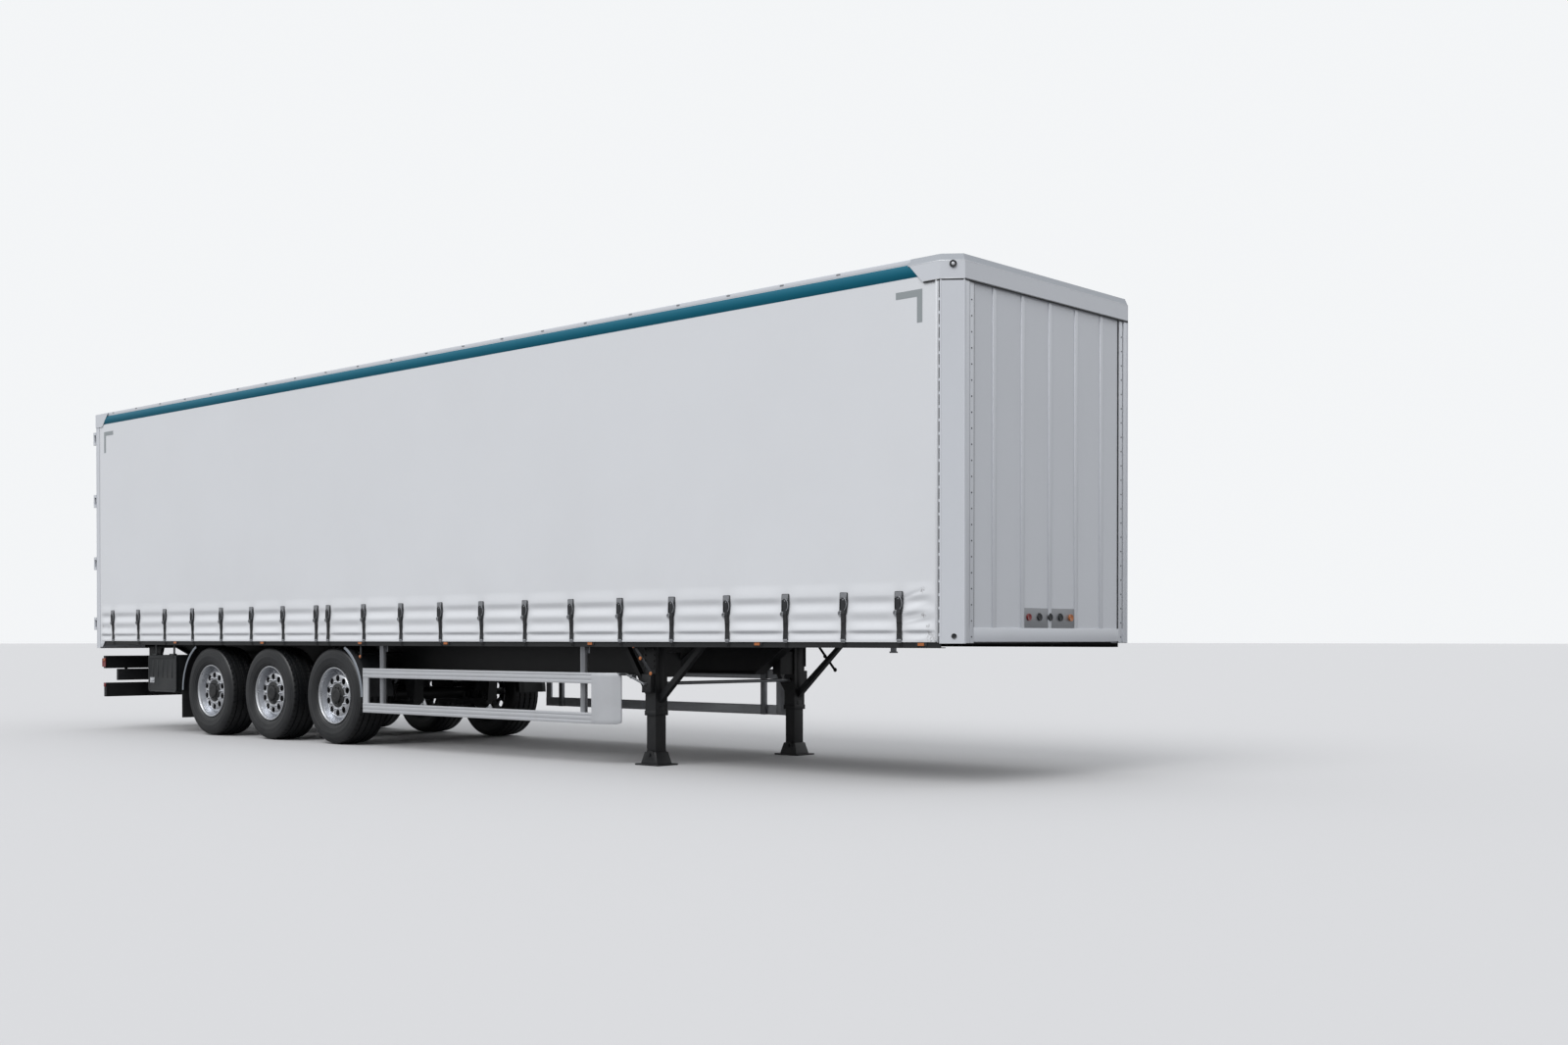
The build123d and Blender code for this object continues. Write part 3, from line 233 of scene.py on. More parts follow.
def sweepEdge(start, across, path):
    # An edge that reaches across from the start point, drawn along the path's points into a band
    band = startPoint(start)
    extrudeBy(across)
    bpy.ops.mesh.select_all(action="SELECT")
    for before, after in zip(path, path[1:]):
        extrudeBy([b - a for a, b in zip(before, after)])
    bpy.ops.object.mode_set(mode="OBJECT")
    return band


def spinLine(profile, angle, steps):
    # A line through (distance along the axle, radius) points, turned about the axle
    turned = startPoint((0, *profile[0]))
    for before, after in zip(profile, profile[1:]):
        extrudeBy((0, after[0] - before[0], after[1] - before[1]))
    bpy.ops.mesh.select_all(action="SELECT")
    bpy.ops.mesh.spin(steps=steps, angle=angle, center=(0, 0, 0), axis=toLeft)
    bpy.ops.object.mode_set(mode="OBJECT")
    return fixNormals(turned)


def spinProfile(name, profile, centre=(0, 0, 0), steps=64):
    ring = spinLine(profile, 2 * pi, steps)
    ring.location = centre
    return settle(ring, name)


def uprightGrid(columns, rows):
    # A grid in the plane that a curtain hangs in, from -0.5 to 0.5 both ways
    deselectAll()
    bpy.ops.mesh.primitive_grid_add(x_subdivisions=columns, y_subdivisions=rows, size=1,
                                    rotation=(radians(90), 0, 0))
    bpy.ops.object.transform_apply(location=True, rotation=True, scale=True)
    return bpy.context.object


def place(piece, body, slotName, *replaced, finish=None):
    # finish: another material of the same slot, for a piece whose colour differs
    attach(piece, body)
    piece.data.materials.clear()
    piece.data.materials.append(finishes[finish or slotName])
    if replaced:
        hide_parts(*replaced)
    return piece


def placeJoined(parts, name, body, slotName, *replaced, angle=40, finish=None):
    # How most pieces end: parts joined, shaded smooth and put on their body
    return place(shadeSmooth(joinAll(parts, name), angle), body, slotName, *replaced, finish=finish)


# Node trees

def feed(tree, node, inputs):
    # Each input, by name or number, takes a plain value or another node's output
    for key, source in inputs.items():
        if isinstance(source, bpy.types.NodeSocket):
            tree.links.new(source, node.inputs[key])
        else:
            node.inputs[key].default_value = source
    return node


def addNode(tree, kind, inputs):
    return feed(tree, tree.nodes.new("ShaderNode" + kind), inputs)


def mathNode(tree, operation, first, second, clamp=False):
    node = addNode(tree, "Math", {0: first, 1: second})
    node.operation = operation
    node.use_clamp = clamp
    return node.outputs["Value"]


def mixColours(tree, factor, first, second):
    node = addNode(tree, "Mix", {})
    node.data_type = "RGBA"
    return feed(tree, node, {"Factor": factor, "A": first, "B": second}).outputs["Result"]


def groupNode(tree, group, inputs):
    node = addNode(tree, "Group", {})
    node.node_tree = group
    return feed(tree, node, inputs)


# Floor, light and camera

stageLook = {
    "floorSize": 900.0,
    "floorColour": (0.48, 0.48, 0.49, 1.0),
    "floorRough": 0.9,
    "floorBounce": (0.20, 0.20, 0.205, 1.0),   # what the floor throws back on the trailer
    "skyColour": (0.97, 0.985, 1.0, 1.0),
    "skyTop": 1.34,
    "skyEdge": 0.52,
    "backdrop": 0.93,
    "sunStrength": 1.72,
    "sunSize": 40.0,
    "sunFrom": (0.10, -0.82, 0.92),
}


def seenByCamera(tree):
    # 1 for what the camera sees, plainly or through glass, and 0 for light on its way to the trailer
    rays = addNode(tree, "LightPath", {}).outputs
    return mathNode(tree, "MAXIMUM", rays["Is Camera Ray"], rays["Is Transmission Ray"])


def buildStage(look):
    deselectAll()
    bpy.ops.mesh.primitive_plane_add(size=look["floorSize"])
    floor = settle(bpy.context.object, "studioFloor")
    paint = bpy.data.materials.new("studioFloorPaint")
    paint.use_nodes = True
    tree = paint.node_tree
    tone = mixColours(tree, seenByCamera(tree), look["floorBounce"], look["floorColour"])
    feed(tree, tree.nodes["Principled BSDF"], {"Base Color": tone, "Roughness": look["floorRough"]})
    floor.data.materials.append(paint)

    # The sky is brighter overhead for the light it gives, and even where it is seen
    world = bpy.data.worlds.new("studioLight")
    bpy.context.scene.world = world
    world.use_nodes = True
    tree = world.node_tree
    tree.nodes.clear()
    split = addNode(tree, "SeparateXYZ", {"Vector": addNode(tree, "TexCoord", {}).outputs["Generated"]})
    rise = addNode(tree, "MapRange", {"Value": split.outputs["Z"], "To Min": look["skyEdge"],
                                      "To Max": look["skyTop"]})
    lightSky = addNode(tree, "Background", {"Color": look["skyColour"], "Strength": rise.outputs["Result"]})
    seenSky = addNode(tree, "Background", {"Color": look["skyColour"], "Strength": look["backdrop"]})
    mix = addNode(tree, "MixShader", {"Fac": seenByCamera(tree), 1: lightSky.outputs["Background"],
                                      2: seenSky.outputs["Background"]})
    addNode(tree, "OutputWorld", {"Surface": mix.outputs["Shader"]})

    sunData = bpy.data.lights.new("softSun", "SUN")
    sunData.energy = look["sunStrength"]
    sunData.angle = radians(look["sunSize"])
    sun = bpy.data.objects.new("softSun", sunData)
    bpy.context.scene.collection.objects.link(sun)
    sun.rotation_euler = Vector(look["sunFrom"]).to_track_quat("Z", "Y").to_euler()


photoCamera = {
    "aheadOfRear": 21.0745,   # from the rear frame's back face
    "side": -11.3915,
    "height": 1.126,
    "heading": 132.246,       # degrees from +X towards +Y
    "pitch": -0.567,
    "lens": 38.85,
    "sensor": 36.0,
    "shiftUp": 0.0852,
}


def buildCamera(view):
    data = bpy.data.cameras.new("photoCamera")
    data.sensor_fit = "HORIZONTAL"
    data.sensor_width = view["sensor"]
    data.lens = view["lens"]
    data.shift_y = view["shiftUp"]
    data.clip_end = 1200
    camera = bpy.data.objects.new("photoCamera", data)
    bpy.context.scene.collection.objects.link(camera)
    camera.location = (bodyRearX + view["aheadOfRear"], view["side"], view["height"])
    heading, pitch = radians(view["heading"]), radians(view["pitch"])
    ahead = Vector((cos(heading) * cos(pitch), sin(heading) * cos(pitch), sin(pitch)))
    camera.rotation_euler = ahead.to_track_quat("-Z", "Y").to_euler()
    bpy.context.scene.camera = camera


buildStage(stageLook)
buildCamera(photoCamera)
bpy.context.scene.view_settings.view_transform = "Standard"
print("stage and camera done")


# Materials

def screenColour(red, green, blue):
    # A screen colour, 0 to 255 a channel, as the linear colour that the shader wants
    channels = []
    for value in (red / 255, green / 255, blue / 255):
        channels.append(value / 12.92 if value <= 0.04045 else ((value + 0.055) / 1.055) ** 2.4)
    return (*channels, 1.0)


def newGroup(name, inputs, outputs):
    group = bpy.data.node_groups.new(name, "ShaderNodeTree")
    for label, kind, value in inputs:
        made = group.interface.new_socket(label, in_out="INPUT", socket_type=kind)
        if value is not None:
            made.default_value = value
    for label, kind in outputs:
        group.interface.new_socket(label, in_out="OUTPUT", socket_type=kind)
    return group, group.nodes.new("NodeGroupInput"), group.nodes.new("NodeGroupOutput")


def buildRoadDust():
    # Film of dust: cloudy patches, and more of it low on the trailer
    group, given, out = newGroup("roadDust", (
        ("Paint", "NodeSocketColor", (0.5, 0.5, 0.5, 1)),
        ("Dust", "NodeSocketColor", (0.25, 0.22, 0.19, 1)),
        ("Amount", "NodeSocketFloat", 0.3),
        ("Patch Scale", "NodeSocketFloat", 3.0),
        ("Splash Height", "NodeSocketFloat", 1.2),
        ("Clean Roughness", "NodeSocketFloat", 0.4),
    ), (("Color", "NodeSocketColor"), ("Roughness", "NodeSocketFloat")))
    coords = addNode(group, "TexCoord", {}).outputs["Object"]
    clouds = addNode(group, "TexNoise", {"Vector": coords, "Scale": given.outputs["Patch Scale"], "Detail": 6,
                                         "Roughness": 0.62})
    spread = addNode(group, "MapRange", {"Value": clouds.outputs["Fac"], "From Min": 0.38, "From Max": 0.72})
    split = addNode(group, "SeparateXYZ", {"Vector": coords})
    low = addNode(group, "MapRange", {"Value": split.outputs["Z"], "From Max": given.outputs["Splash Height"],
                                      "To Min": 1.0, "To Max": 0.25})
    both = mathNode(group, "MULTIPLY", spread.outputs["Result"], low.outputs["Result"])
    mask = mathNode(group, "MULTIPLY", both, given.outputs["Amount"], clamp=True)
    dull = addNode(group, "MapRange", {
        "Value": mask, "To Min": given.outputs["Clean Roughness"], "To Max": 0.85})
    feed(group, out, {"Color": mixColours(group, mask, given.outputs["Paint"], given.outputs["Dust"]),
                      "Roughness": dull.outputs["Result"]})
    return group


def buildGrain():
    # Fine uneven surface for paint, cast metal and moulded plastic
    group, given, out = newGroup("surfaceGrain", (
        ("Scale", "NodeSocketFloat", 60.0),
        ("Depth", "NodeSocketFloat", 1.0),
    ), (("Height", "NodeSocketFloat"),))
    coords = addNode(group, "TexCoord", {}).outputs["Object"]
    grain = addNode(group, "TexNoise", {"Vector": coords, "Scale": given.outputs["Scale"], "Detail": 3})
    feed(group, out, {"Height": mathNode(group, "MULTIPLY", grain.outputs["Fac"], given.outputs["Depth"])})
    return group


def buildWeave():
    # Threads both ways, on the axes that the cloth's plane uses
    group, given, out = newGroup("threadWeave", (
        ("Threads", "NodeSocketFloat", 400.0),
    ), (("Height", "NodeSocketFloat"),))
    coords = addNode(group, "TexCoord", {}).outputs["Object"]
    threads = []
    for direction in ("X", "Z"):
        thread = addNode(group, "TexWave",
                         {"Vector": coords, "Scale": given.outputs["Threads"], "Distortion": 0.4})
        thread.bands_direction = direction
        threads.append(thread.outputs["Fac"])
    feed(group, out, {"Height": mathNode(group, "ADD", *threads)})
    return group


def addScuffs(tree, colour, scuffs):
    # Rubbed marks on the cloth: broken up by noise, each fading out from its place
    coords = addNode(tree, "TexCoord", {}).outputs["Object"]
    speckle = addNode(tree, "TexNoise", {"Vector": coords, "Scale": 55, "Detail": 5})
    broken = addNode(tree, "MapRange", {"Value": speckle.outputs["Fac"], "From Min": 0.42, "From Max": 0.60})
    for station, side, height, reach, strength in scuffs:
        away = addNode(tree, "VectorMath", {})
        away.operation = "DISTANCE"
        feed(tree, away, {0: coords, 1: (bodyRearX + station, side, height)})
        near = addNode(tree, "MapRange", {"Value": away.outputs["Value"], "From Max": reach,
                                          "To Min": strength, "To Max": 0.0})
        near.interpolation_type = "SMOOTHSTEP"
        mask = mathNode(tree, "MULTIPLY", near.outputs["Result"], broken.outputs["Result"])
        colour = mixColours(tree, mask, colour, scuffColour)
    return colour


roadDust = buildRoadDust()
surfaceGrain = buildGrain()
threadWeave = buildWeave()

# For each slot and each finish that differs from its slot: screen colour, clean roughness, amount and
# patch scale of the dust, size of the grain or threads, and strength of the bump. Some have metal,
# a coat, shine (specular level), splash (how high the dust reaches) or scuffs, given as
# (station, side, height, reach, strength).
paints = {
    "chassis_steel": {"colour": (15, 17, 20), "rough": 0.48, "dustAmount": 0.11, "patch": 2.6,
                      "grain": 45.0, "bump": 0.10},
    "floor_plywood": {"colour": (84, 62, 44), "rough": 0.55, "dustAmount": 0.3, "patch": 1.6,
                      "grain": 30.0, "bump": 0.12},
    "white_paint": {"colour": (199, 202, 208), "rough": 0.30, "dustAmount": 0.14, "patch": 1.1,
                    "grain": 14.0, "bump": 0.02, "coat": 0.25},
    "aluminium": {"colour": (196, 198, 202), "rough": 0.40, "metal": 0.45, "dustAmount": 0.16,
                  "patch": 3.0, "grain": 90.0, "bump": 0.04},
    "trim_teal": {"colour": (0, 92, 114), "rough": 0.42, "dustAmount": 0.03, "patch": 1.4,
                  "grain": 20.0, "bump": 0.02, "shine": 0.22},
    "curtain_fabric": {"colour": (212, 214, 218), "rough": 0.44, "dustAmount": 0.12, "patch": 0.7,
                       "splash": 2.6, "threads": 500.0, "bump": 0.04,
                       "scuffs": ((13.288, -1.266, 1.497, 0.034, 0.85),
                                  (13.296, -1.266, 1.305, 0.036, 0.75),
                                  (13.342, -1.266, 1.225, 0.026, 0.9),
                                  (13.350, -1.266, 1.165, 0.045, 0.5),
                                  (13.375, -1.266, 1.125, 0.060, 0.45),
                                  (0.170, -1.266, 1.300, 0.030, 0.5))},
    "roof_fabric": {"colour": (184, 187, 190), "rough": 0.6, "dustAmount": 0.10, "patch": 0.8,
                    "splash": 60.0, "threads": 500.0, "bump": 0.05},
    "strap_black": {"colour": (20, 21, 24), "rough": 0.6, "dustAmount": 0.10, "patch": 6.0,
                    "threads": 900.0, "bump": 0.3},
    "galvanised": {"colour": (150, 152, 156), "rough": 0.38, "metal": 0.7, "dustAmount": 0.2,
                   "patch": 8.0, "grain": 60.0, "bump": 0.06},
    "tyre": {"colour": (20, 22, 25), "rough": 0.42, "dustAmount": 0.10, "patch": 4.0,
             "splash": 1.3, "grain": 140.0, "bump": 0.06},
    "wheel_silver": {"colour": (204, 206, 210), "rough": 0.27, "metal": 0.90, "dustAmount": 0.06,
                     "patch": 6.0, "grain": 60.0, "bump": 0.01},
    "black_plastic": {"colour": (27, 29, 33), "rough": 0.5, "dustAmount": 0.18, "patch": 3.0,
                      "grain": 160.0, "bump": 0.10},
    "grey_plastic": {"colour": (19, 23, 26), "rough": 0.46, "dustAmount": 0.16, "patch": 5.0,
                     "grain": 110.0, "bump": 0.35},
    "rubber": {"colour": (22, 23, 26), "rough": 0.7, "dustAmount": 0.16, "patch": 4.0,
               "grain": 80.0, "bump": 0.08},
    "lamp_red": {"colour": (112, 12, 15), "rough": 0.24, "dustAmount": 0.08, "patch": 5.0,
                 "grain": 30.0, "bump": 0.01, "coat": 0.5},
    "lamp_amber": {"colour": (164, 92, 36), "rough": 0.2, "dustAmount": 0.16, "patch": 5.0,
                   "grain": 30.0, "bump": 0.01, "coat": 0.5},
    "plywood_lath": {"colour": (190, 156, 112), "rough": 0.6, "dustAmount": 0.2, "patch": 2.0,
                     "grain": 40.0, "bump": 0.12},
    "mark_tape": {"colour": (142, 148, 151), "rough": 0.4, "dustAmount": 0.08, "patch": 3.0,
                  "grain": 220.0, "bump": 0.05},
    # Painted shade: a darker grey copy of white_paint, for the header's steep upper band
    "header_painted_shade": {"colour": (160, 164, 170), "rough": 0.62, "dustAmount": 0.12, "patch": 1.4,
                    "grain": 14.0, "bump": 0.02, "shine": 0.25},
    # Painted highlight: a light grey for the bead on the mudguards' rolled edge, lighter than the black shell
    "guard_lip_painted_highlight": {"colour": (124, 130, 138), "rough": 0.45, "dustAmount": 0.15, "patch": 3.0,
                  "grain": 120.0, "bump": 0.06},
}
dustColour = screenColour(108, 106, 103)
scuffColour = screenColour(66, 56, 54)


def buildFinish(name, look):
    finish = bpy.data.materials.new(name)
    finish.use_nodes = True
    tree = finish.node_tree
    dust = groupNode(tree, roadDust, {
        "Paint": screenColour(*look["colour"]),
        "Dust": dustColour,
        "Amount": look["dustAmount"],
        "Patch Scale": look["patch"],
        "Splash Height": look.get("splash", 1.6),
        "Clean Roughness": look["rough"],
    })
    colour = dust.outputs["Color"]
    if "scuffs" in look:
        colour = addScuffs(tree, colour, look["scuffs"])
    if "threads" in look:
        relief = groupNode(tree, threadWeave, {"Threads": look["threads"]})
    else:
        relief = groupNode(tree, surfaceGrain, {"Scale": look["grain"]})
    bump = addNode(tree, "Bump", {"Strength": look["bump"], "Distance": 0.002,
                                  "Height": relief.outputs["Height"]})
    feed(tree, tree.nodes["Principled BSDF"], {
        "Base Color": colour,
        "Roughness": dust.outputs["Roughness"],
        "Metallic": look.get("metal", 0.0),
        "Coat Weight": look.get("coat", 0.0),
        "Coat Roughness": 0.15,
        "Specular IOR Level": look.get("shine", 0.5),
        "Normal": bump.outputs["Normal"],
    })
    return finish


finishes = {name: buildFinish(name, look) for name, look in paints.items()}
for nodeName, obj in frame["nodes"].items():
    obj.data.materials.clear()
    obj.data.materials.append(finishes[slotOf[nodeName]])
print("materials done")


# Curtains: coated cloth stretched between the roof rail and the side rail

curtainCloth = {
    "thickness": 0.003,
    "smoothAngle": 60,
    "columns": 420,
    "lowerRows": 84,
    "upperRows": 26,
    "foldTop": 1.62,          # below this height the rows are close together
    # Height and how far the cloth stands out there, from the folds' top to the hem
    "folds": ((1.575, 0.0), (1.468, 0.0085), (1.408, -0.0070), (1.334, 0.0095), (1.272, -0.0030),
              (1.198, 0.0145), (1.172, -0.0062), (1.118, 0.0080), (1.104, 0.0070)),
    "strapHold": 0.80,        # how much of the folds a strap presses flat
    "strapReach": 0.075,
    "slackDepth": 0.0035,
    "slackWidth": 1.32,
    # Creases near the front lower corner: from (station, height), to, depth, width
    "creases": (((13.100, 1.440), (13.290, 1.500), -0.0065, 0.014),
                ((13.110, 1.330), (13.390, 1.425), 0.0070, 0.030),
                ((13.100, 1.300), (13.340, 1.335), -0.0045, 0.016),
                ((13.130, 1.250), (13.330, 1.290), 0.0050, 0.014),
                ((13.250, 1.120), (13.400, 1.180), 0.0040, 0.018),
                ((0.130, 1.180), (0.330, 1.300), 0.0045, 0.022)),
    # The folds die out towards the curtain's two ends
    "endFade": ((0.110, 0.200), (13.425, 13.330)),
}
strapRuns = ((0.440, 8, 0.661), (5.301, 11, 0.660), (12.516, 2, 0.550))   # first, how many, pitch
strapStations = [first + number * pitch for first, count, pitch in strapRuns for number in range(count)]


def alongPoints(points, value):
    # Smooth line through (value, height) points, which run from the highest value to the lowest
    if value >= points[0][0]:
        return points[0][1]
    for (before, first), (after, second) in zip(points, points[1:]):
        if value >= after:
            share = (before - value) / (before - after)
            return first + (second - first) * share * share * (3 - 2 * share)
    return points[-1][1]


def clothStand(station, height, cloth):
    # How far the cloth stands out of its plane, at a station from the rear
    reach = min(abs(station - strap) for strap in strapStations)
    hold = exp(-(reach / cloth["strapReach"]) ** 2)
    swing = 0.88 + 0.12 * sin(2.3 * station + 1.4 * sin(1.1 * station))
    for gone, whole in cloth["endFade"]:
        swing *= min(1.0, max(0.0, (station - gone) / (whole - gone)))
    stand = alongPoints(cloth["folds"], height) * swing * (1 - cloth["strapHold"] * hold)
    for (startX, startZ), (endX, endZ), depth, width in cloth["creases"]:
        runX, runZ = endX - startX, endZ - startZ
        share = ((station - startX) * runX + (height - startZ) * runZ) / (runX ** 2 + runZ ** 2)
        held = min(1.0, max(0.0, share))
        away = sqrt((station - startX - held * runX) ** 2 + (height - startZ - held * runZ) ** 2)
        stand += depth * exp(-(away / width) ** 2) * sin(pi * (0.15 + 0.7 * held))
    slack = cloth["slackDepth"] * sin(2 * pi * station / cloth["slackWidth"] + 1.1 * sin(0.9 * station))
    slack *= 0.6 * exp(-((height - 1.9) / 0.9) ** 2) + 0.25
    fade = min(1.0, max(0.0, (3.85 - height) / 0.5)) * min(1.0, max(0.0, (height - 1.105) / 0.4))
    return stand + slack * fade


def buildCurtain(name, side, cloth):
    low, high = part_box(name)
    rows = cloth["lowerRows"] + cloth["upperRows"]
    curtain = uprightGrid(cloth["columns"], rows)
    planeY = (low.y + high.y) / 2
    length, height = high.x - low.x, high.z - low.z
    foldShare = cloth["lowerRows"] / rows
    for point in curtain.data.vertices:
        along = point.co.x + 0.5
        share = point.co.z + 0.5
        if share < foldShare:
            z = low.z + (cloth["foldTop"] - low.z) * share / foldShare
        else:
            z = cloth["foldTop"] + (high.z - cloth["foldTop"]) * (share - foldShare) / (1 - foldShare)
        x = low.x + length * along
        point.co = (x, planeY + side * clothStand(x - bodyRearX, z, cloth), z)
    shadeSmooth(thicken(curtain, cloth["thickness"]), cloth["smoothAngle"])
    curtain.name = name + "_cloth"
    place(curtain, "trailer", "curtain_fabric", name)


# Reflective contour marks: an angle in each upper corner, stuck on the cloth

contourMarks = {
    "arms": (((13.028, 3.706), (13.282, 3.760)), ((13.231, 3.509), (13.282, 3.706)),
             ((0.212, 3.706), (0.454, 3.756)), ((0.212, 3.490), (0.260, 3.706))),
    "cells": 12,
    "thickness": 0.0006,
    "lift": 0.0021,           # from the cloth's middle
}


def buildContourMarks(sideName, side, shape):
    low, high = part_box("curtain_" + sideName)
    planeY = (low.y + high.y) / 2
    arms = []
    for (x0, z0), (x1, z1) in shape["arms"]:
        arm = uprightGrid(shape["cells"], shape["cells"])
        for point in arm.data.vertices:
            station = x0 + (x1 - x0) * (point.co.x + 0.5)
            height = z0 + (z1 - z0) * (point.co.z + 0.5)
            out = clothStand(station, height, curtainCloth) + shape["lift"]
            point.co = (bodyRearX + station, planeY + side * out, height)
        arms.append(thicken(arm, shape["thickness"]))
    placeJoined(arms, "contour_marks_" + sideName, "trailer", "grey_plastic",
                angle=curtainCloth["smoothAngle"], finish="mark_tape")


for sideName, sideSign in sideSigns.items():
    buildCurtain("curtain_" + sideName, sideSign, curtainCloth)
    buildContourMarks(sideName, sideSign, contourMarks)
print("curtains done")


# Templates: a repeated shape is modelled once, at the origin, and stamped where it belongs

def stamp(template, name, matrix):
    twin = template.copy()
    twin.data = template.data.copy()
    bpy.context.scene.collection.objects.link(twin)
    twin.data.transform(matrix)
    if matrix.determinant() < 0:
        twin.data.flip_normals()
    twin.name = name
    return twin


def discard(obj):
    bpy.data.objects.remove(obj, do_unlink=True)


def sideMatrix(centre, side):
    # Outwards is +Y in a template, and turns to -Y on the right
    return Matrix.Translation(centre) @ Matrix.Diagonal((1, side, 1, 1))


# Tyres: tread with ribs, grooves and cross cuts, and plain side walls with raised rings

tyreShape = {
    "halfWall": ((0.1492, 0.2925), (0.1492, 0.305), (0.156, 0.313), (0.163, 0.317), (0.1645, 0.3215),
                 (0.1700, 0.3290), (0.1728, 0.3308), (0.1722, 0.3350), (0.1785, 0.3490), (0.1812, 0.3506),
                 (0.1804, 0.3550), (0.1846, 0.3710), (0.1868, 0.3722), (0.1862, 0.3770), (0.1888, 0.3890),
                 (0.1904, 0.3960), (0.1910, 0.4090), (0.1920, 0.4102), (0.1912, 0.4130), (0.1914, 0.4260),
                 (0.1904, 0.4400), (0.1896, 0.4406), (0.1898, 0.4450), (0.1886, 0.4560), (0.1874, 0.4626),
                 (0.1850, 0.4640), (0.1838, 0.4740), (0.1806, 0.4840), (0.1776, 0.4856), (0.1752, 0.4940),
                 (0.1685, 0.5035), (0.1640, 0.5085)),
    "halfTread": ((0.1560, 0.5120), (0.1280, 0.5163), (0.1180, 0.5170), (0.1155, 0.5050), (0.1065, 0.5050),
                  (0.1040, 0.5180), (0.0920, 0.5190), (0.0570, 0.5205), (0.0450, 0.5210), (0.0425, 0.5080),
                  (0.0335, 0.5080), (0.0310, 0.5213), (0.0190, 0.5216)),
    "steps": 144,
    "cutDepth": 0.005,
    "cutSlope": 0.0032,
}


def buildTyre(shape):
    half = shape["halfWall"] + shape["halfTread"]
    section = list(half) + [(-along, radius) for along, radius in reversed(half)] + [half[0]]
    tyre = spinProfile("tyreTemplate", section, steps=shape["steps"])
    sector = 2 * pi / shape["steps"]

    def isCut(centre, normal):
        radius = sqrt(centre.x ** 2 + centre.z ** 2)
        number = int((atan2(centre.z, centre.x) + pi) / sector + 0.001)
        across = abs(centre.y)
        shoulder = 0.128 < across < 0.166 and radius > 0.509 and number % 3 == 0
        ribEdge = (0.092 < across < 0.104 or 0.045 < across < 0.057 or 0.019 < across < 0.031)
        return shoulder or (ribEdge and radius > 0.517 and number % 2 == 0)

    def cutAcross():
        bpy.ops.mesh.inset(thickness=shape["cutSlope"], depth=-shape["cutDepth"], use_individual=True)

    editFaces(tyre, isCut, cutAcross)
    return shadeSmooth(tyre, 32)


# Wheels: rim with a drop well, dished disc with hand holes, nuts, valve and hub

wheelShape = {
    "rim": ((0.1655, 0.3040), (0.1668, 0.2990), (0.1655, 0.2935), (0.1600, 0.2895), (0.1500, 0.2860),
            (0.1430, 0.2835), (0.1200, 0.2805), (0.0900, 0.2770), (0.0600, 0.2700), (0.0300, 0.2670),
            (-0.0700, 0.2680),
            (-0.1400, 0.2800), (-0.1490, 0.2850), (-0.1625, 0.2980), (-0.1640, 0.3030), (-0.1620, 0.3058),
            (-0.1520, 0.3058), (-0.1500, 0.2918), (0.1500, 0.2918), (0.1520, 0.3058), (0.1620, 0.3058)),
    "disc": ((0.0480, 0.2760), (0.0560, 0.2640), (0.0740, 0.2480), (0.0960, 0.2330), (0.1080, 0.2230),
             (0.1135, 0.2130), (0.1150, 0.2040), (0.1150, 0.1290)),
    "discThickness": 0.010,
    "holeCircle": 0.1860,
    "holeRadius": 0.0345,
    "holeCount": 10,
    "nutCircle": 0.1500,
    "nutRadius": 0.0125,
    "nutHeight": 0.0130,
    "nutFoot": 0.119,
    "studRadius": 0.0090,
    "studReach": 0.009,       # beyond the nut
    "valveCircle": 0.262,
    "valveAngle": 0.47 * pi,
    "valveRun": (-0.004, 0.070, -0.012),
    # The hub fills the disc's bore: a flange, a step and the grease cap with its rim
    "hub": ((0.0900, 0.0), (0.0900, 0.1280), (0.1170, 0.1280), (0.1200, 0.1240), (0.1220, 0.1130),
            (0.1260, 0.1010), (0.1290, 0.0960), (0.1290, 0.0790), (0.1310, 0.0770), (0.1440, 0.0760),
            (0.1470, 0.0720), (0.1480, 0.0600), (0.1480, 0.0420), (0.1460, 0.0400), (0.1460, 0.0)),
    "hubBolts": 10,
    "hubBoltCircle": 0.0875,
    "hubBoltFoot": 0.128,
    "steps": 96,
}


def onCircle(radius, along, angle):
    # A point at this radius round the axle and this far out along it
    return Vector((radius * cos(angle), along, radius * sin(angle)))


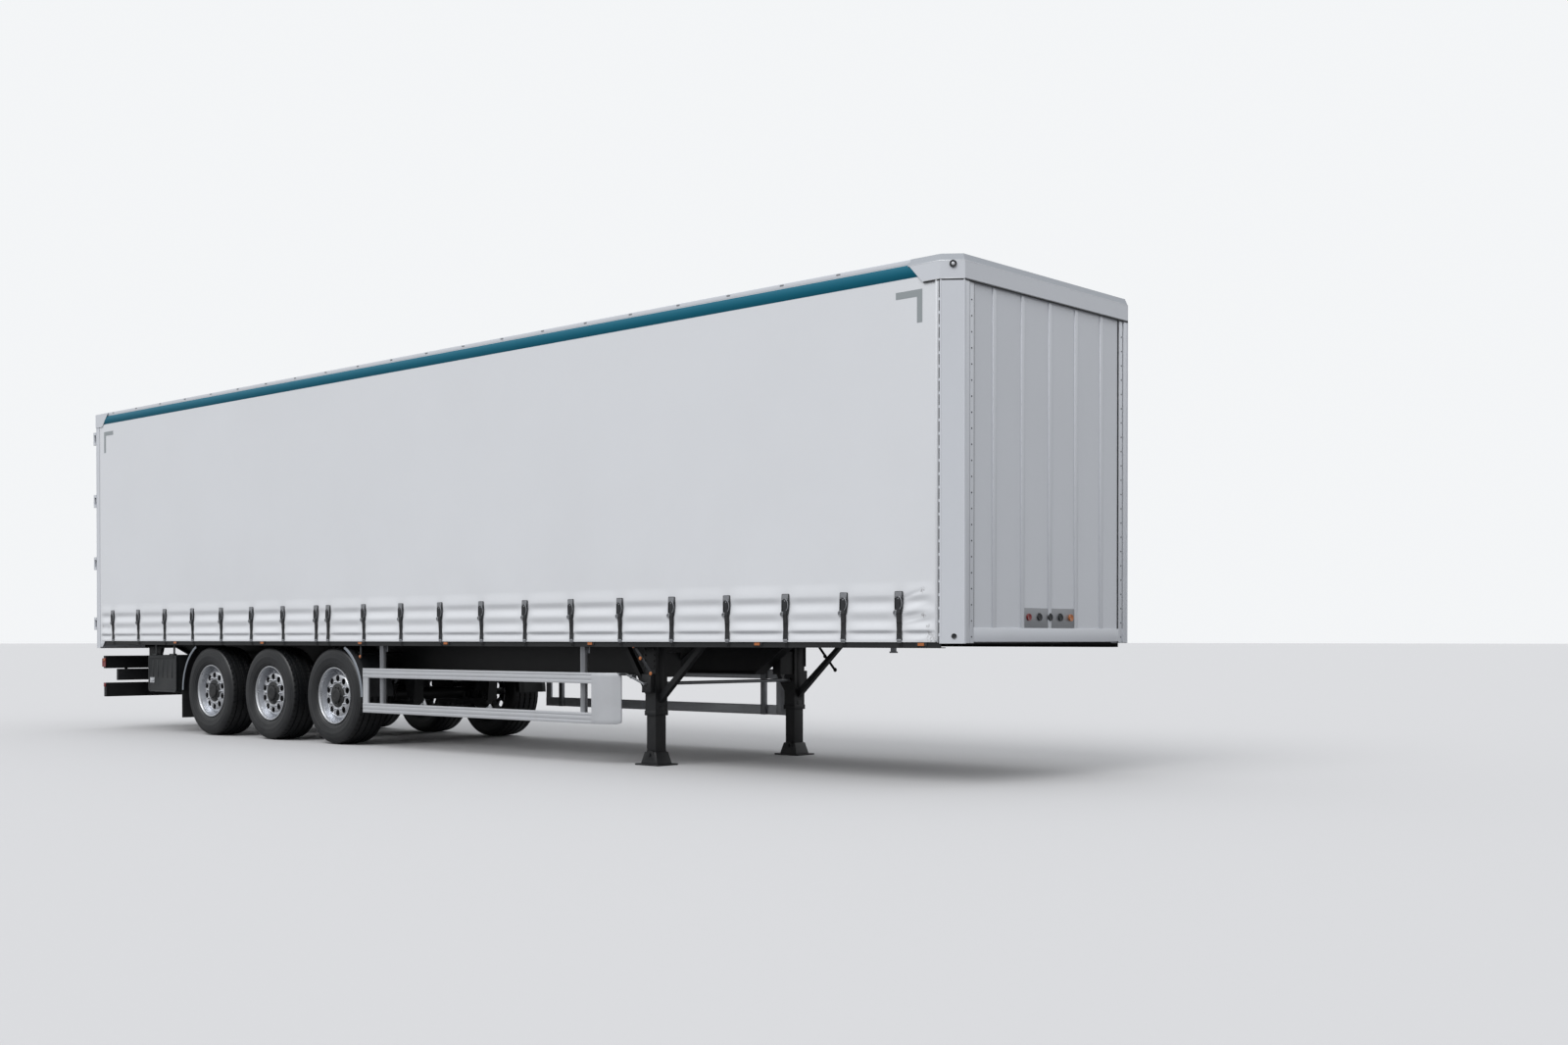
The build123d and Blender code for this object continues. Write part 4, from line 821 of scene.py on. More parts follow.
def buildWheel(shape):
    rim = spinProfile("rimTemplate", list(shape["rim"]) + [shape["rim"][0]], steps=shape["steps"])
    disc = thicken(spinProfile("discTemplate", shape["disc"], steps=shape["steps"]), shape["discThickness"])
    holes = []
    for number in range(shape["holeCount"]):
        angle = 2 * pi * (number + 0.5) / shape["holeCount"]
        holes.append(addRod("handHole", onCircle(shape["holeCircle"], -0.05, angle),
                            onCircle(shape["holeCircle"], 0.13, angle), shape["holeRadius"], 24))
    cutter = joinAll(holes, "handHoles")
    cut = disc.modifiers.new("handHoles", "BOOLEAN")
    cut.operation = "DIFFERENCE"
    cut.solver = "EXACT"
    cut.object = cutter
    makeActive(disc)
    bpy.ops.object.modifier_apply(modifier=cut.name)
    discard(cutter)
    softenEdges(disc, 0.0020, 2, 50)
    nuts = []
    for number in range(shape["holeCount"]):
        angle = 2 * pi * number / shape["holeCount"]
        foot = onCircle(shape["nutCircle"], shape["nutFoot"], angle)
        nut = addRod("nut", foot, foot + Vector((0, shape["nutHeight"], 0)), shape["nutRadius"], 6)
        stud = addRod("stud", foot, foot + Vector((0, shape["nutHeight"] + shape["studReach"], 0)),
                      shape["studRadius"], 12)
        nuts += [softenEdges(nut, 0.0018, 1), stud]
    low = onCircle(shape["valveCircle"], 0.060, shape["valveAngle"])
    nuts.append(addRod("valve", low, low + Vector(shape["valveRun"]), 0.0055, 10))
    wheel = shadeSmooth(joinAll([rim, disc, *nuts], "wheelTemplate"), 40)
    hubParts = [spinProfile("hubTemplate", shape["hub"], steps=48)]
    for number in range(shape["hubBolts"]):
        angle = 2 * pi * number / shape["hubBolts"]
        foot = onCircle(shape["hubBoltCircle"], shape["hubBoltFoot"], angle)
        hubParts.append(addRod("hubBolt", foot, foot + Vector((0, 0.008, 0)), 0.0075, 6))
    hub = shadeSmooth(joinAll(hubParts, "hubTemplate"), 40)
    return wheel, hub


tyreTemplate = buildTyre(tyreShape)
wheelTemplate, hubTemplate = buildWheel(wheelShape)
for bodyName in sorted({joint["child"] for joint in frame["joints"] if joint["name"].endswith("_turn")}):
    tyreNode = bodyName.replace("wheel_", "tyre_")
    low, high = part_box(tyreNode)
    middle = (low + high) / 2
    outwards = sideMatrix(middle, 1 if middle.y > 0 else -1)
    place(stamp(tyreTemplate, tyreNode + "_tread", outwards), bodyName, "tyre", tyreNode)
    place(stamp(wheelTemplate, bodyName + "_rim", outwards), bodyName, "wheel_silver", bodyName)
    place(stamp(hubTemplate, bodyName + "_hub", outwards), bodyName, "chassis_steel", bodyName)
for template in (tyreTemplate, wheelTemplate, hubTemplate):
    discard(template)
print("wheels done")


# Strap sets: over-centre buckle on the cloth, webbing, and a hook under the side rail

strapShape = {
    "clothFace": 1.2672,
    "leanHeight": 1.4,
    "webbingWidth": 0.050,
    "webbing": ((1.4900, 0.0030), (1.4600, 0.0050), (1.3500, 0.0070), (1.3200, 0.0095), (1.2500, 0.0060),
                (1.2000, 0.0035), (1.1650, 0.0060), (1.1450, 0.0075)),
    "tail": ((1.3500, 0.0120), (1.3200, 0.0135), (1.2800, 0.0100), (1.2550, 0.0120)),
    # Half widths down the buckle's body
    "body": ((1.4930, 0.0340), (1.4870, 0.0380), (1.4250, 0.0400), (1.3700, 0.0365), (1.3350, 0.0315),
             (1.3180, 0.0250)),
    "bodyDepth": (0.0030, 0.0125),
    "head": ((1.4880, 0.0310), (1.4600, 0.0330), (1.4530, 0.0300)),
    "lever": ((1.4500, 0.0155), (1.4300, 0.0165), (1.3950, 0.0160), (1.3600, 0.0145),
              (1.3380, 0.0150), (1.3260, 0.0165)),
    "leverWidth": 0.036,
    # Painted highlight: a bright galvanised wire drawn along the dark lever's forward edge, where that edge shows
    # bright: (along, out, height)
    "highlightWire": ((0.0080, 0.0165, 1.4520), (0.0220, 0.0168, 1.4420), (0.0310, 0.0168, 1.4230),
             (0.0340, 0.0166, 1.4000), (0.0300, 0.0162, 1.3760), (0.0160, 0.0155, 1.3560)),
    "highlightWireRadius": 0.0038,
    "ring": (-0.0310, 0.0085, 1.3290),
    "hookPlate": ((1.1700, 0.0205), (1.1500, 0.0235), (1.1280, 0.0280), (1.1220, 0.0270)),
}


def addRibbon(name, line, width, thickness):
    # A band that follows (height, distance out) points, its width along the trailer
    path = [(0, out, height) for height, out in line]
    band = thicken(sweepEdge((-width / 2, *path[0][1:]), (width, 0, 0), path), thickness)
    band.name = name
    return fixNormals(band)


def addPlate(name, halves, depths):
    # A flat body whose half width changes with height, from one depth to another
    low, high = halves[-1][0], halves[0][0]
    widest = max(half for height, half in halves)
    plate = addBox(name, (-widest, depths[0], low), (widest, depths[1], high))
    for height, half in halves[1:-1]:
        cutLevel(plate, height)
    for point in plate.data.vertices:
        point.co.x *= alongLine(halves, point.co.z) / widest
    return plate


def alongLine(points, value):
    # Straight line through (value, height) points, which run from the highest value to the lowest
    for (before, first), (after, second) in zip(points, points[1:]):
        if value >= after - 0.00001:
            return first + (second - first) * (before - value) / (before - after)
    return points[-1][1]


def buildStrap(shape):
    webbing = addRibbon("webbingTemplate", shape["webbing"], shape["webbingWidth"], 0.0024)
    tail = addRibbon("tail", shape["tail"], 0.038, 0.0018)
    webbing = shadeSmooth(joinAll([webbing, tail], "webbingTemplate"), 50)

    body = softenEdges(addPlate("buckleBody", shape["body"], shape["bodyDepth"]), 0.0018, 2, 40)
    dark = [body]
    for way in (-1, 1):
        cheek = addBox("cheek", (way * 0.0350 - 0.0015, 0.0110, 1.340),
                       (way * 0.0350 + 0.0015, 0.0170, 1.450))
        taperFace(cheek, toLeft, (1, 1, 0.72))
        dark.append(softenEdges(cheek, 0.0008, 1))
    lever = addRibbon("lever", shape["lever"], shape["leverWidth"], 0.0026)
    dark.append(softenEdges(lever, 0.0007, 1))
    dark.append(softenEdges(addPlate("hookPlate", shape["hookPlate"], (0.0030, 0.0085)), 0.0012, 1))
    ringX, ringY, ringZ = shape["ring"]
    deselectAll()
    bpy.ops.mesh.primitive_torus_add(
        major_radius=0.0175, minor_radius=0.0060, major_segments=20, minor_segments=8,
        location=shape["ring"], rotation=(radians(80), 0, radians(-12)))
    ring = settle(bpy.context.object, "ring")
    for way in (-1, 1):
        dark.append(addRod("hookTip", (way * 0.0110, 0.0050, 1.1060),
                           (way * 0.0110, -0.0085, 1.0620), 0.0023, 8))
    dark.append(addRod("hookFoot", (-0.0125, -0.0085, 1.0622), (0.0125, -0.0085, 1.0622), 0.0023, 8))
    buckle = shadeSmooth(joinAll(dark, "buckleTemplate"), 40)

    bright = [ring]
    # Painted highlight: the bright wire along the lever's forward edge
    for start, end in zip(shape["highlightWire"], shape["highlightWire"][1:]):
        bright.append(addRod("highlightWire", start, end, shape["highlightWireRadius"], 8))
    bright.append(softenEdges(addPlate("head", shape["head"], (0.0110, 0.0150)), 0.0015, 1, 40))
    bright.append(addRod("pivot", (-0.0330, 0.0130, 1.4480), (0.0330, 0.0130, 1.4480), 0.0036, 10))
    bright.append(softenEdges(addRod("rivet", (0, 0.0165, 1.4360), (0, 0.0195, 1.4360),
                                     0.0055, 12), 0.001, 1))
    core = addRod("ringCore", (ringX, ringY - 0.004, ringZ),
                  (ringX + 0.001, ringY + 0.006, ringZ), 0.0100, 14)
    bright.append(softenEdges(core, 0.002, 1))
    hook = addPlate("hook", ((1.1280, 0.0200), (1.1150, 0.0225), (1.0985, 0.0185)), (0.0040, 0.0125))
    editFaces(hook, facing(downwards), lambda: bpy.ops.transform.translate(value=(0, -0.004, 0)))
    bright.append(softenEdges(hook, 0.0020, 2, 40))
    return webbing, buckle, shadeSmooth(joinAll(bright, "brightTemplate"), 40)


strapTemplates = buildStrap(strapShape)
strapKinds = (("webbing", "strap_black"), ("buckles", "black_plastic"), ("levers", "galvanised"))
for sideName, sideSign in sideSigns.items():
    for template, (kind, slotName) in zip(strapTemplates, strapKinds):
        stamped = []
        for number, station in enumerate(strapStations):
            lean = radians(((number * 37) % 11 - 5) * 0.28)   # no two hang quite alike
            foot = sideMatrix((bodyRearX + station, sideSign * strapShape["clothFace"], 0), sideSign)
            pivot = Matrix.Translation((0, 0, strapShape["leanHeight"]))
            turn = pivot @ Matrix.Rotation(lean, 4, "Y") @ pivot.inverted()
            stamped.append(stamp(template, kind, foot @ turn))
        strapSet = joinAll(stamped, f"strap_{kind}_{sideName}")
        place(strapSet, "trailer", slotName, "strap_set_" + sideName)
for template in strapTemplates:
    discard(template)
print("straps done")


# Roof cover: coated cloth over the bows, a little slack between them

roofCloth = {
    "thickness": 0.003,
    "columns": 240,
    "rows": 24,
    "sag": 0.0022,
    "firstBow": 0.730,
    "bowPitch": 0.600,
    "cornerStart": 13.4323,
    "cornerSlope": 0.7931,
}


def buildRoofCover(cloth):
    low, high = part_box("roof_cover")
    deselectAll()
    bpy.ops.mesh.primitive_grid_add(x_subdivisions=cloth["columns"], y_subdivisions=cloth["rows"], size=1)
    cover = bpy.context.object
    size = high - low
    for point in cover.data.vertices:
        x = low.x + size.x * (point.co.x + 0.5)
        # The front corners follow the slanted corners of the header
        narrow = cloth["cornerSlope"] * max(0.0, x - bodyRearX - cloth["cornerStart"])
        y = point.co.y * (size.y - 2 * narrow)
        between = sin(pi * (x - bodyRearX - cloth["firstBow"]) / cloth["bowPitch"]) ** 2
        inner = 1 - (abs(y) / (size.y / 2)) ** 6
        point.co = (x, y, high.z - cloth["thickness"] / 2 - cloth["sag"] * between * inner)
    shadeSmooth(thicken(cover, cloth["thickness"]), 60)
    cover.name = "roof_cover_cloth"
    place(cover, "trailer", "roof_fabric", "roof_cover")


buildRoofCover(roofCloth)
print("roof cover done")


# Side guards: aluminium rails with grooves, a curved nose, a rear upright and two posts

sideGuardShape = {
    "outerY": 1.250,
    "railDepth": 0.026,
    "rails": ((0.727, 0.825), (0.363, 0.463)),
    "rear": 5.907,
    "noseStart": 9.508,
    "noseLength": 0.277,
    "noseInset": 0.110,
    "noseCells": (14, 12),
    "noseWall": 0.022,
    "uprightLength": 0.090,
    "posts": (6.208, 9.360),
    "grooveShare": (0.30, 0.70),
    "grooveWidth": 0.006,
    "grooveDepth": 0.0035,
}


def buildSideGuard(sideName, side, shape):
    parts = []
    outer, inner = shape["outerY"], shape["outerY"] - shape["railDepth"]
    for bottom, top in shape["rails"]:
        rail = addBox("guardRail", (bodyRearX + shape["rear"], inner, bottom),
                      (bodyRearX + shape["noseStart"] + 0.004, outer, top))
        grooves = [bottom + (top - bottom) * share for share in shape["grooveShare"]]
        for groove in grooves:
            cutLevel(rail, groove)
            cutLevel(rail, groove + shape["grooveWidth"])
        for groove in grooves:
            middle = groove + shape["grooveWidth"] / 2
            editFaces(rail, lambda centre, normal: normal.y > 0.9 and abs(centre.z - middle) < 0.002,
                      lambda: extrudeBy((0, -shape["grooveDepth"], 0)))
        parts.append(softenEdges(fixNormals(rail), 0.003, 2, 50))

    # The nose: a wide profile that turns inwards along the same curve as its two faces
    low, high = shape["rails"][1][0], shape["rails"][0][1]
    nose = uprightGrid(*shape["noseCells"])
    for point in nose.data.vertices:
        along = point.co.x + 0.5
        height = point.co.z + 0.5
        inset = shape["noseInset"] * along ** 2
        flute = 0.0016 * cos(8 * pi * along)
        corner = max(0.0, abs(2 * height - 1) - 0.93) * max(0.0, along - 0.86) * 2.4
        point.co = (bodyRearX + shape["noseStart"] + shape["noseLength"] * (along - corner * 0.5),
                    outer - 0.013 - inset + flute,
                    low + (high - low) * (height - (corner if height > 0.5 else -corner)))
    parts.append(softenEdges(fixNormals(thicken(nose, shape["noseWall"])), 0.003, 2, 50))

    upright = addBox("guardUpright", (bodyRearX + shape["rear"], inner + 0.002, shape["rails"][1][1] - 0.002),
                     (bodyRearX + shape["rear"] + shape["uprightLength"], outer - 0.003,
                      shape["rails"][0][0] + 0.002))
    insetFace(upright, toLeft, 0.010, -0.002)
    parts.append(softenEdges(upright, 0.002, 2, 50))
    rails = turnToSide(joinAll(parts, "side_guard_rails_" + sideName), side)
    place(shadeSmooth(rails), "trailer", "aluminium", "side_guards")

    posts = []
    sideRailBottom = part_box("side_rails")[0].z
    for station in shape["posts"]:
        x = bodyRearX + station
        post = addBox("guardPost", (x - 0.030, inner - 0.040, low),
                      (x + 0.030, inner - 0.001, sideRailBottom))
        insetFace(post, toLeft, 0.008, -0.006)
        posts.append(softenEdges(post, 0.003, 2, 50))
        for bottom, top in shape["rails"]:
            for share in shape["grooveShare"]:
                z = bottom + (top - bottom) * share
                posts.append(addRod("bolt", (x, inner - 0.044, z), (x, inner - 0.032, z), 0.011, 6))
        flange = addBox("postFlange", (x - 0.055, inner - 0.044, sideRailBottom - 0.060),
                        (x + 0.055, inner - 0.040, sideRailBottom - 0.001))
        posts.append(softenEdges(flange, 0.002, 1))
    posts = turnToSide(joinAll(posts, "side_guard_posts_" + sideName), side)
    place(shadeSmooth(posts), "trailer", "galvanised", "side_guards")


for sideName, sideSign in sideSigns.items():
    buildSideGuard(sideName, sideSign, sideGuardShape)
print("side guards done")


# Mudguards: moulded quarter arcs with a rolled outer lip, on a tube from the rail

mudguardShape = {
    "radius": 0.5925,
    "inner": 0.852,
    "outer": 1.238,
    "section": ((-0.193, -0.004), (-0.190, 0.0), (-0.150, 0.0), (-0.140, 0.0045), (-0.110, 0.0045),
                (-0.100, 0.0), (0.100, 0.0), (0.110, 0.0045), (0.140, 0.0045), (0.150, 0.0), (0.178, 0.0),
                (0.187, -0.003), (0.191, -0.011), (0.192, -0.024)),
    "lip": ((0.1885, -0.0290), (0.1945, -0.0290), (0.1960, -0.0270), (0.1960, -0.0050), (0.1945, -0.0015),
            (0.1890, 0.0015), (0.1875, -0.0010), (0.1920, -0.0060), (0.1920, -0.0260), (0.1885, -0.0290)),
    "thickness": 0.004,
    "wheelHeight": 0.522,
    "steps": 26,
    "tubeAngle": 40,
}


def spinArc(name, section, centre, startAngle, sweep, steps):
    # The section turns about the axle; angles run from straight up towards the front
    arc = spinLine(section, sweep, steps)
    forwards = sum(point.co.x for point in arc.data.vertices) > 0
    # Turned so that the swept part starts at startAngle and grows forwards
    turn = startAngle if forwards else startAngle + sweep
    arc.data.transform(Matrix.Rotation(turn, 4, "Y"))
    arc.location = centre
    return settle(arc, name)


def buildMudguards(shape):
    low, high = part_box("mudguards")
    radius = shape["radius"]
    lift = (high.z - 0.003 - shape["wheelHeight"]) / (radius + 0.0045)
    topAngle = pi / 2 - atan2(lift, sqrt(1 - lift ** 2))
    sweep = pi / 2 - topAngle
    section = [(along, radius + rise) for along, rise in shape["section"]]
    edge = [(along, radius + rise) for along, rise in shape["lip"]]
    middleY = (shape["inner"] + shape["outer"]) / 2
    angle = radians(shape["tubeAngle"])
    for axleX, way, label in ((high.x - radius - 0.0035, 1, "front"), (low.x + radius + 0.0035, -1, "rear")):
        start = topAngle if way > 0 else -pi / 2
        centre = (axleX, middleY, shape["wheelHeight"])
        shell = thicken(spinArc("mudguard", section, centre, start, sweep, shape["steps"]),
                        shape["thickness"])
        bead = spinArc("bead", edge, centre, start, sweep, shape["steps"])
        braceX = axleX + way * radius * sin(angle)
        braceZ = shape["wheelHeight"] + radius * cos(angle)
        clamps = [addRod("guardTube", (braceX, 0.604, braceZ), (braceX, 1.200, braceZ), 0.015, 20)]
        for y in (0.900, 1.130):
            clamp = addBox("clamp", (braceX - 0.022, y - 0.020, braceZ - 0.022),
                           (braceX + 0.022, y + 0.020, braceZ + 0.020))
            clamps.append(softenEdges(clamp, 0.004, 2))
        tube = joinAll(clamps, "tube")
        for sideName, side in sideSigns.items():
            # The edge bead is drawn in light grey, as a painted highlight along the rolled lip
            for piece, kind, slotName in ((shell, "shell", "black_plastic"), (bead, "edge", "grey_plastic"),
                                          (tube, "tube", "chassis_steel")):
                twin = stamp(piece, f"mudguard_{kind}_{label}_{sideName}", sideMatrix((0, 0, 0), side))
                place(shadeSmooth(twin, 40), "trailer", slotName, "mudguards",
                      finish="guard_lip_painted_highlight" if kind == "edge" else None)
        for piece in (shell, bead, tube):
            discard(piece)


buildMudguards(mudguardShape)
print("mudguards done")


# Toolbox: moulded lid with rounded corners, ribs, hinge knuckles and a latch, and bands round the shell

toolboxShape = {
    "lidHeight": 0.443,
    "lidWall": 0.014,
    "bulge": 0.009,
    "cornerRadius": 0.034,
    "rim": 0.022,
    "ribs": 5,
    "knuckleInset": 0.130,
    "knuckleHeight": 0.454,
    "latch": (0.100, 0.140),
}


def buildToolbox(shape):
    lidLow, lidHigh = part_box("toolbox_lid")
    shellLow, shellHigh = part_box("toolbox")
    left, right, bottom = lidLow.x, lidHigh.x, lidLow.z
    top = bottom + shape["lidHeight"]
    inner, face = lidLow.y + shape["lidWall"], lidLow.y - shape["bulge"]
    lid = addBox("lid", (left, face, bottom), (right, inner, top))
    editEdges(lid, lambda start, end: abs(start.y - end.y) > 0.01,
              lambda: bpy.ops.mesh.bevel(offset=shape["cornerRadius"], segments=6, affect="EDGES"))

    def isFace(centre, normal):
        return normal.y < -0.9 and abs(centre.x - (left + right) / 2) < 0.01

    editFaces(lid, isFace, lambda: bpy.ops.mesh.inset(thickness=shape["rim"], depth=0))
    editFaces(lid, isFace, lambda: bpy.ops.mesh.inset(thickness=0.010, depth=-0.006))
    parts = [softenEdges(lid, 0.0050, 3, 40)]
    for number in range(shape["ribs"]):
        x = left + (right - left) * (number + 1) / (shape["ribs"] + 1)
        rib = addBox("rib", (x - 0.011, face + 0.0030, bottom + 0.170),
                     (x + 0.011, face + 0.008, top - 0.060))
        parts.append(softenEdges(rib, 0.0030, 2))
    ledge = addBox("ledge", (left + 0.040, face - 0.0030, top - 0.030),
                   (right - 0.040, face + 0.0040, top - 0.014))
    parts.append(softenEdges(ledge, 0.0028, 2))
    for x in (left + shape["knuckleInset"], right - shape["knuckleInset"]):
        z = bottom + shape["knuckleHeight"]
        knuckle = addRod("knuckle", (x - 0.030, inner, z), (x + 0.030, inner, z), 0.0090, 20)
        parts.append(softenEdges(knuckle, 0.0012, 1, 60))
        leaf = addBox("leaf", (x - 0.030, inner - 0.012, top - 0.040), (x + 0.030, inner - 0.002, z))
        parts.append(softenEdges(leaf, 0.0015, 1))
    placeJoined(parts, "toolbox_lid_panel", "toolbox_lid", "grey_plastic", "toolbox_lid")

    across, up = shape["latch"]
    x, z = left + across, bottom + up
    cup = addBox("latchCup", (x - 0.050, face - 0.0040, z - 0.032), (x + 0.050, face + 0.0090, z + 0.032))
    insetFace(cup, toRight, 0.008, -0.004)
    latchParts = [softenEdges(cup, 0.002, 2)]
    paddle = addBox("paddle", (x - 0.036, face - 0.0085, z - 0.018), (x + 0.020, face - 0.001, z + 0.018))
    latchParts.append(softenEdges(paddle, 0.0025, 2))
    lock = addRod("lock", (x + 0.034, face - 0.007, z), (x + 0.034, face, z), 0.009, 16)
    latchParts.append(softenEdges(lock, 0.001, 1))
    placeJoined(latchParts, "toolbox_latch", "toolbox_lid", "galvanised", finish="aluminium")

    # Two bands round the shell's underside and ends, that hang it from the rail
    bands = []
    for x in (left + 0.120, right - 0.120):
        for front, upper in ((shellLow.y + 0.020, bottom), (shellHigh.y - 0.0002, top + 0.004)):
            band = addBox("band", (x - 0.020, front, bottom - 0.0040),
                          (x + 0.020, shellHigh.y + 0.0040, upper))
            bands.append(softenEdges(band, 0.0012, 1))
    placeJoined(bands, "toolbox_bands", "trailer", "galvanised")


buildToolbox(toolboxShape)
print("toolbox done")


# Doors: aluminium edge frame, seals, lock bars in bolted guides, cams and hinged handles

doorShape = {
    "frameWidth": 0.045,
    "frameRise": 0.003,
    "sealWidth": 0.014,
    "barRadius": 0.0135,
    "barBack": 0.064,
    "barOffsets": (0.250, 0.800),
    "hingePinY": 1.262,
    "handleLength": 0.400,
    "handleHeight": 1.520,
    "catchShare": 0.72,       # along the handle
    "guideHeights": tuple(1.135 + share * 2.745 for share in (0.04, 0.32, 0.67, 0.96)),
    "hingeShares": (0.07, 0.35, 0.64, 0.93),
}


def buildDoorGear(sideName, side, shape):
    body = "door_" + sideName
    backX = bodyRearX - 0.045
    leafLowZ, leafHighZ = (corner.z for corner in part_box(body))
    frameParts = []
    innerY, outerY = 0.008, 1.235
    width, rise = shape["frameWidth"], shape["frameRise"]
    strips = (
        ((innerY, leafLowZ), (innerY + width, leafHighZ)),
        ((outerY - width, leafLowZ), (outerY, leafHighZ)),
        ((innerY + width, leafLowZ), (outerY - width, leafLowZ + width)),
        ((innerY + width, leafHighZ - width), (outerY - width, leafHighZ)),
    )
    for (y0, z0), (y1, z1) in strips:
        strip = sideBox("strip", side, (backX - rise, y0, z0), (backX + 0.001, y1, z1))
        insetFace(strip, toRear, 0.012, -0.0012)
        frameParts.append(softenEdges(strip, 0.0012, 2, 50))
    placeJoined(frameParts, "door_frame_" + sideName, body, "aluminium", angle=35)

    seals = []
    lip = shape["sealWidth"]
    for (y0, z0), (y1, z1) in (
        ((innerY - 0.0075, leafLowZ), (innerY, leafHighZ)),
        ((outerY, leafLowZ), (outerY + lip * 0.5, leafHighZ)),
        ((innerY, leafLowZ - lip), (outerY, leafLowZ)),
        ((innerY, leafHighZ), (outerY, leafHighZ + lip * 0.5)),
    ):
        seal = sideBox("seal", side, (backX + 0.004, y0, z0), (backX + 0.030, y1, z1))
        seals.append(softenEdges(seal, 0.002, 2, 50))
    placeJoined(seals, "door_seals_" + sideName, body, "rubber")

    gear = []
    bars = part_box("lock_bars_" + sideName)
    barX = bodyRearX - shape["barBack"]
    for offset in shape["barOffsets"]:
        y = side * (shape["hingePinY"] - offset)
        gear.append(addRod("bar", (barX, y, bars[0].z + 0.006), (barX, y, bars[1].z - 0.006),
                           shape["barRadius"], 24))
        for end, way in ((bars[0].z + 0.020, -1), (bars[1].z - 0.020, 1)):
            cam = addBox("cam", (barX - 0.0130, y - 0.0200, end - 0.016),
                         (barX + 0.0260, y + 0.0200, end + 0.016))
            taperFace(cam, toFront, (1, 0.55, 0.8))
            gear.append(softenEdges(cam, 0.004, 2, 40))
        for height in shape["guideHeights"]:
            plate = addBox("guidePlate", (backX - 0.008, y - 0.035, height - 0.030),
                           (backX + 0.001, y + 0.035, height + 0.030))
            gear.append(softenEdges(plate, 0.003, 2))
            gear.append(addRod("saddle", (barX, y, height - 0.019), (barX, y, height + 0.019), 0.0155, 20))
            gear.append(addBox("saddleWeb", (barX, y - 0.0155, height - 0.019),
                               (backX - 0.006, y + 0.0155, height + 0.019)))
            for across in (-0.025, 0.025):
                for up in (-0.020, 0.020):
                    gear.append(addRod("bolt", (backX - 0.0125, y + across, height + up),
                                       (backX - 0.0075, y + across, height + up), 0.0055, 6))
        # Handle: a flat lever hinged on a collar, lying in its catch
        z = shape["handleHeight"]
        gear.append(addRod("collar", (barX, y, z - 0.022), (barX, y, z + 0.022), 0.0158, 20))
        reach = -side * shape["handleLength"]
        y0, y1 = sorted((y - side * 0.012, y + reach))
        lever = addBox("handle", (barX - 0.0040, y0, z - 0.015), (barX + 0.0040, y1, z + 0.015))
        gear.append(softenEdges(lever, 0.0035, 3, 40))
        catchY = y + reach * shape["catchShare"]
        catch = addBox("catch", (barX + 0.0050, catchY - 0.028, z - 0.034),
                       (backX + 0.001, catchY + 0.028, z + 0.034))
        gear.append(softenEdges(catch, 0.003, 2))
        for way in (-1, 1):
            jaw = addBox("jaw", (barX - 0.0080, catchY - 0.022, z + way * 0.0235 - 0.0045),
                         (barX + 0.006, catchY + 0.022, z + way * 0.0235 + 0.0045))
            gear.append(softenEdges(jaw, 0.0015, 1))
    placeJoined(gear, "lock_gear_" + sideName, body, "galvanised", "lock_bars_" + sideName)

    straps = []
    for share in shape["hingeShares"]:
        z = leafLowZ + share * (leafHighZ - leafLowZ)
        for reach in (0.060, 0.105, 0.150):
            y = side * (shape["hingePinY"] - reach)
            for up in (-0.022, 0.022):
                straps.append(addRod("bolt", (backX - 0.0135, y, z + up),
                                     (backX - 0.0075, y, z + up), 0.0075, 6))
    placeJoined(straps, "hinge_bolts_" + sideName, body, "galvanised", angle=35)


for sideName, sideSign in sideSigns.items():
    buildDoorGear(sideName, sideSign, doorShape)
print("doors done")


# Lamps: amber side markers in black holders, rear clusters with three lenses and end markers

lampShape = {
    "stations": (2.003, 3.960, 5.884, 7.364, 9.513, 11.580, 13.272),
    "faceY": 1.257,
    "holderLength": 0.104,
    "holderDepth": 0.007,
    "lensLength": 0.060,
    "lensHeight": 0.024,
    "lensReach": 0.0138,
    # Small markers on flat bars below the rail: the bar's two ends, and the lamps along it
    "bars": (((5.848, 1.064), (5.848, 0.925), ((5.848, 0.946),)),
             ((10.058, 1.074), (10.296, 0.814), ((10.065, 1.066), (10.152, 0.960), (10.284, 0.827)))),
    "barY": 1.232,
    "markerRadius": 0.017,
    # Rear cluster: the case's length, and the lenses by slot, place and width as shares of their field
    "caseLength": 0.380,
    "lensField": 0.372,
    "rearLenses": (("lamp_red", 0.0, 0.40), ("lamp_amber", 0.42, 0.20), ("lamp_red", 0.64, 0.34)),
}


def buildSideLamps(sideName, side, shape):
    low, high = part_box("side_lamps")
    z, face = (low.z + high.z) / 2, shape["faceY"]
    half, halfLens, halfTall = shape["holderLength"] / 2, shape["lensLength"] / 2, shape["lensHeight"] / 2
    holders, lenses = [], []
    for station in shape["stations"]:
        x = bodyRearX + station
        holder = sideBox("holder", side, (x - half, face, low.z),
                         (x + half, face + shape["holderDepth"], high.z))
        holders.append(softenEdges(holder, 0.004, 2, 40))
        lens = sideBox("lens", side, (x - halfLens, face + shape["holderDepth"] - 0.001, z - halfTall),
                       (x + halfLens, face + shape["lensReach"], z + halfTall))
        insetFace(lens, (0, side, 0), 0.004, -0.0012)
        lenses.append(softenEdges(lens, 0.003, 3, 40))
    placeJoined(holders, "side_lamp_holders_" + sideName, "trailer", "black_plastic", "side_lamps")
    placeJoined(lenses, "side_lamp_lenses_" + sideName, "trailer", "lamp_amber", "side_lamps")


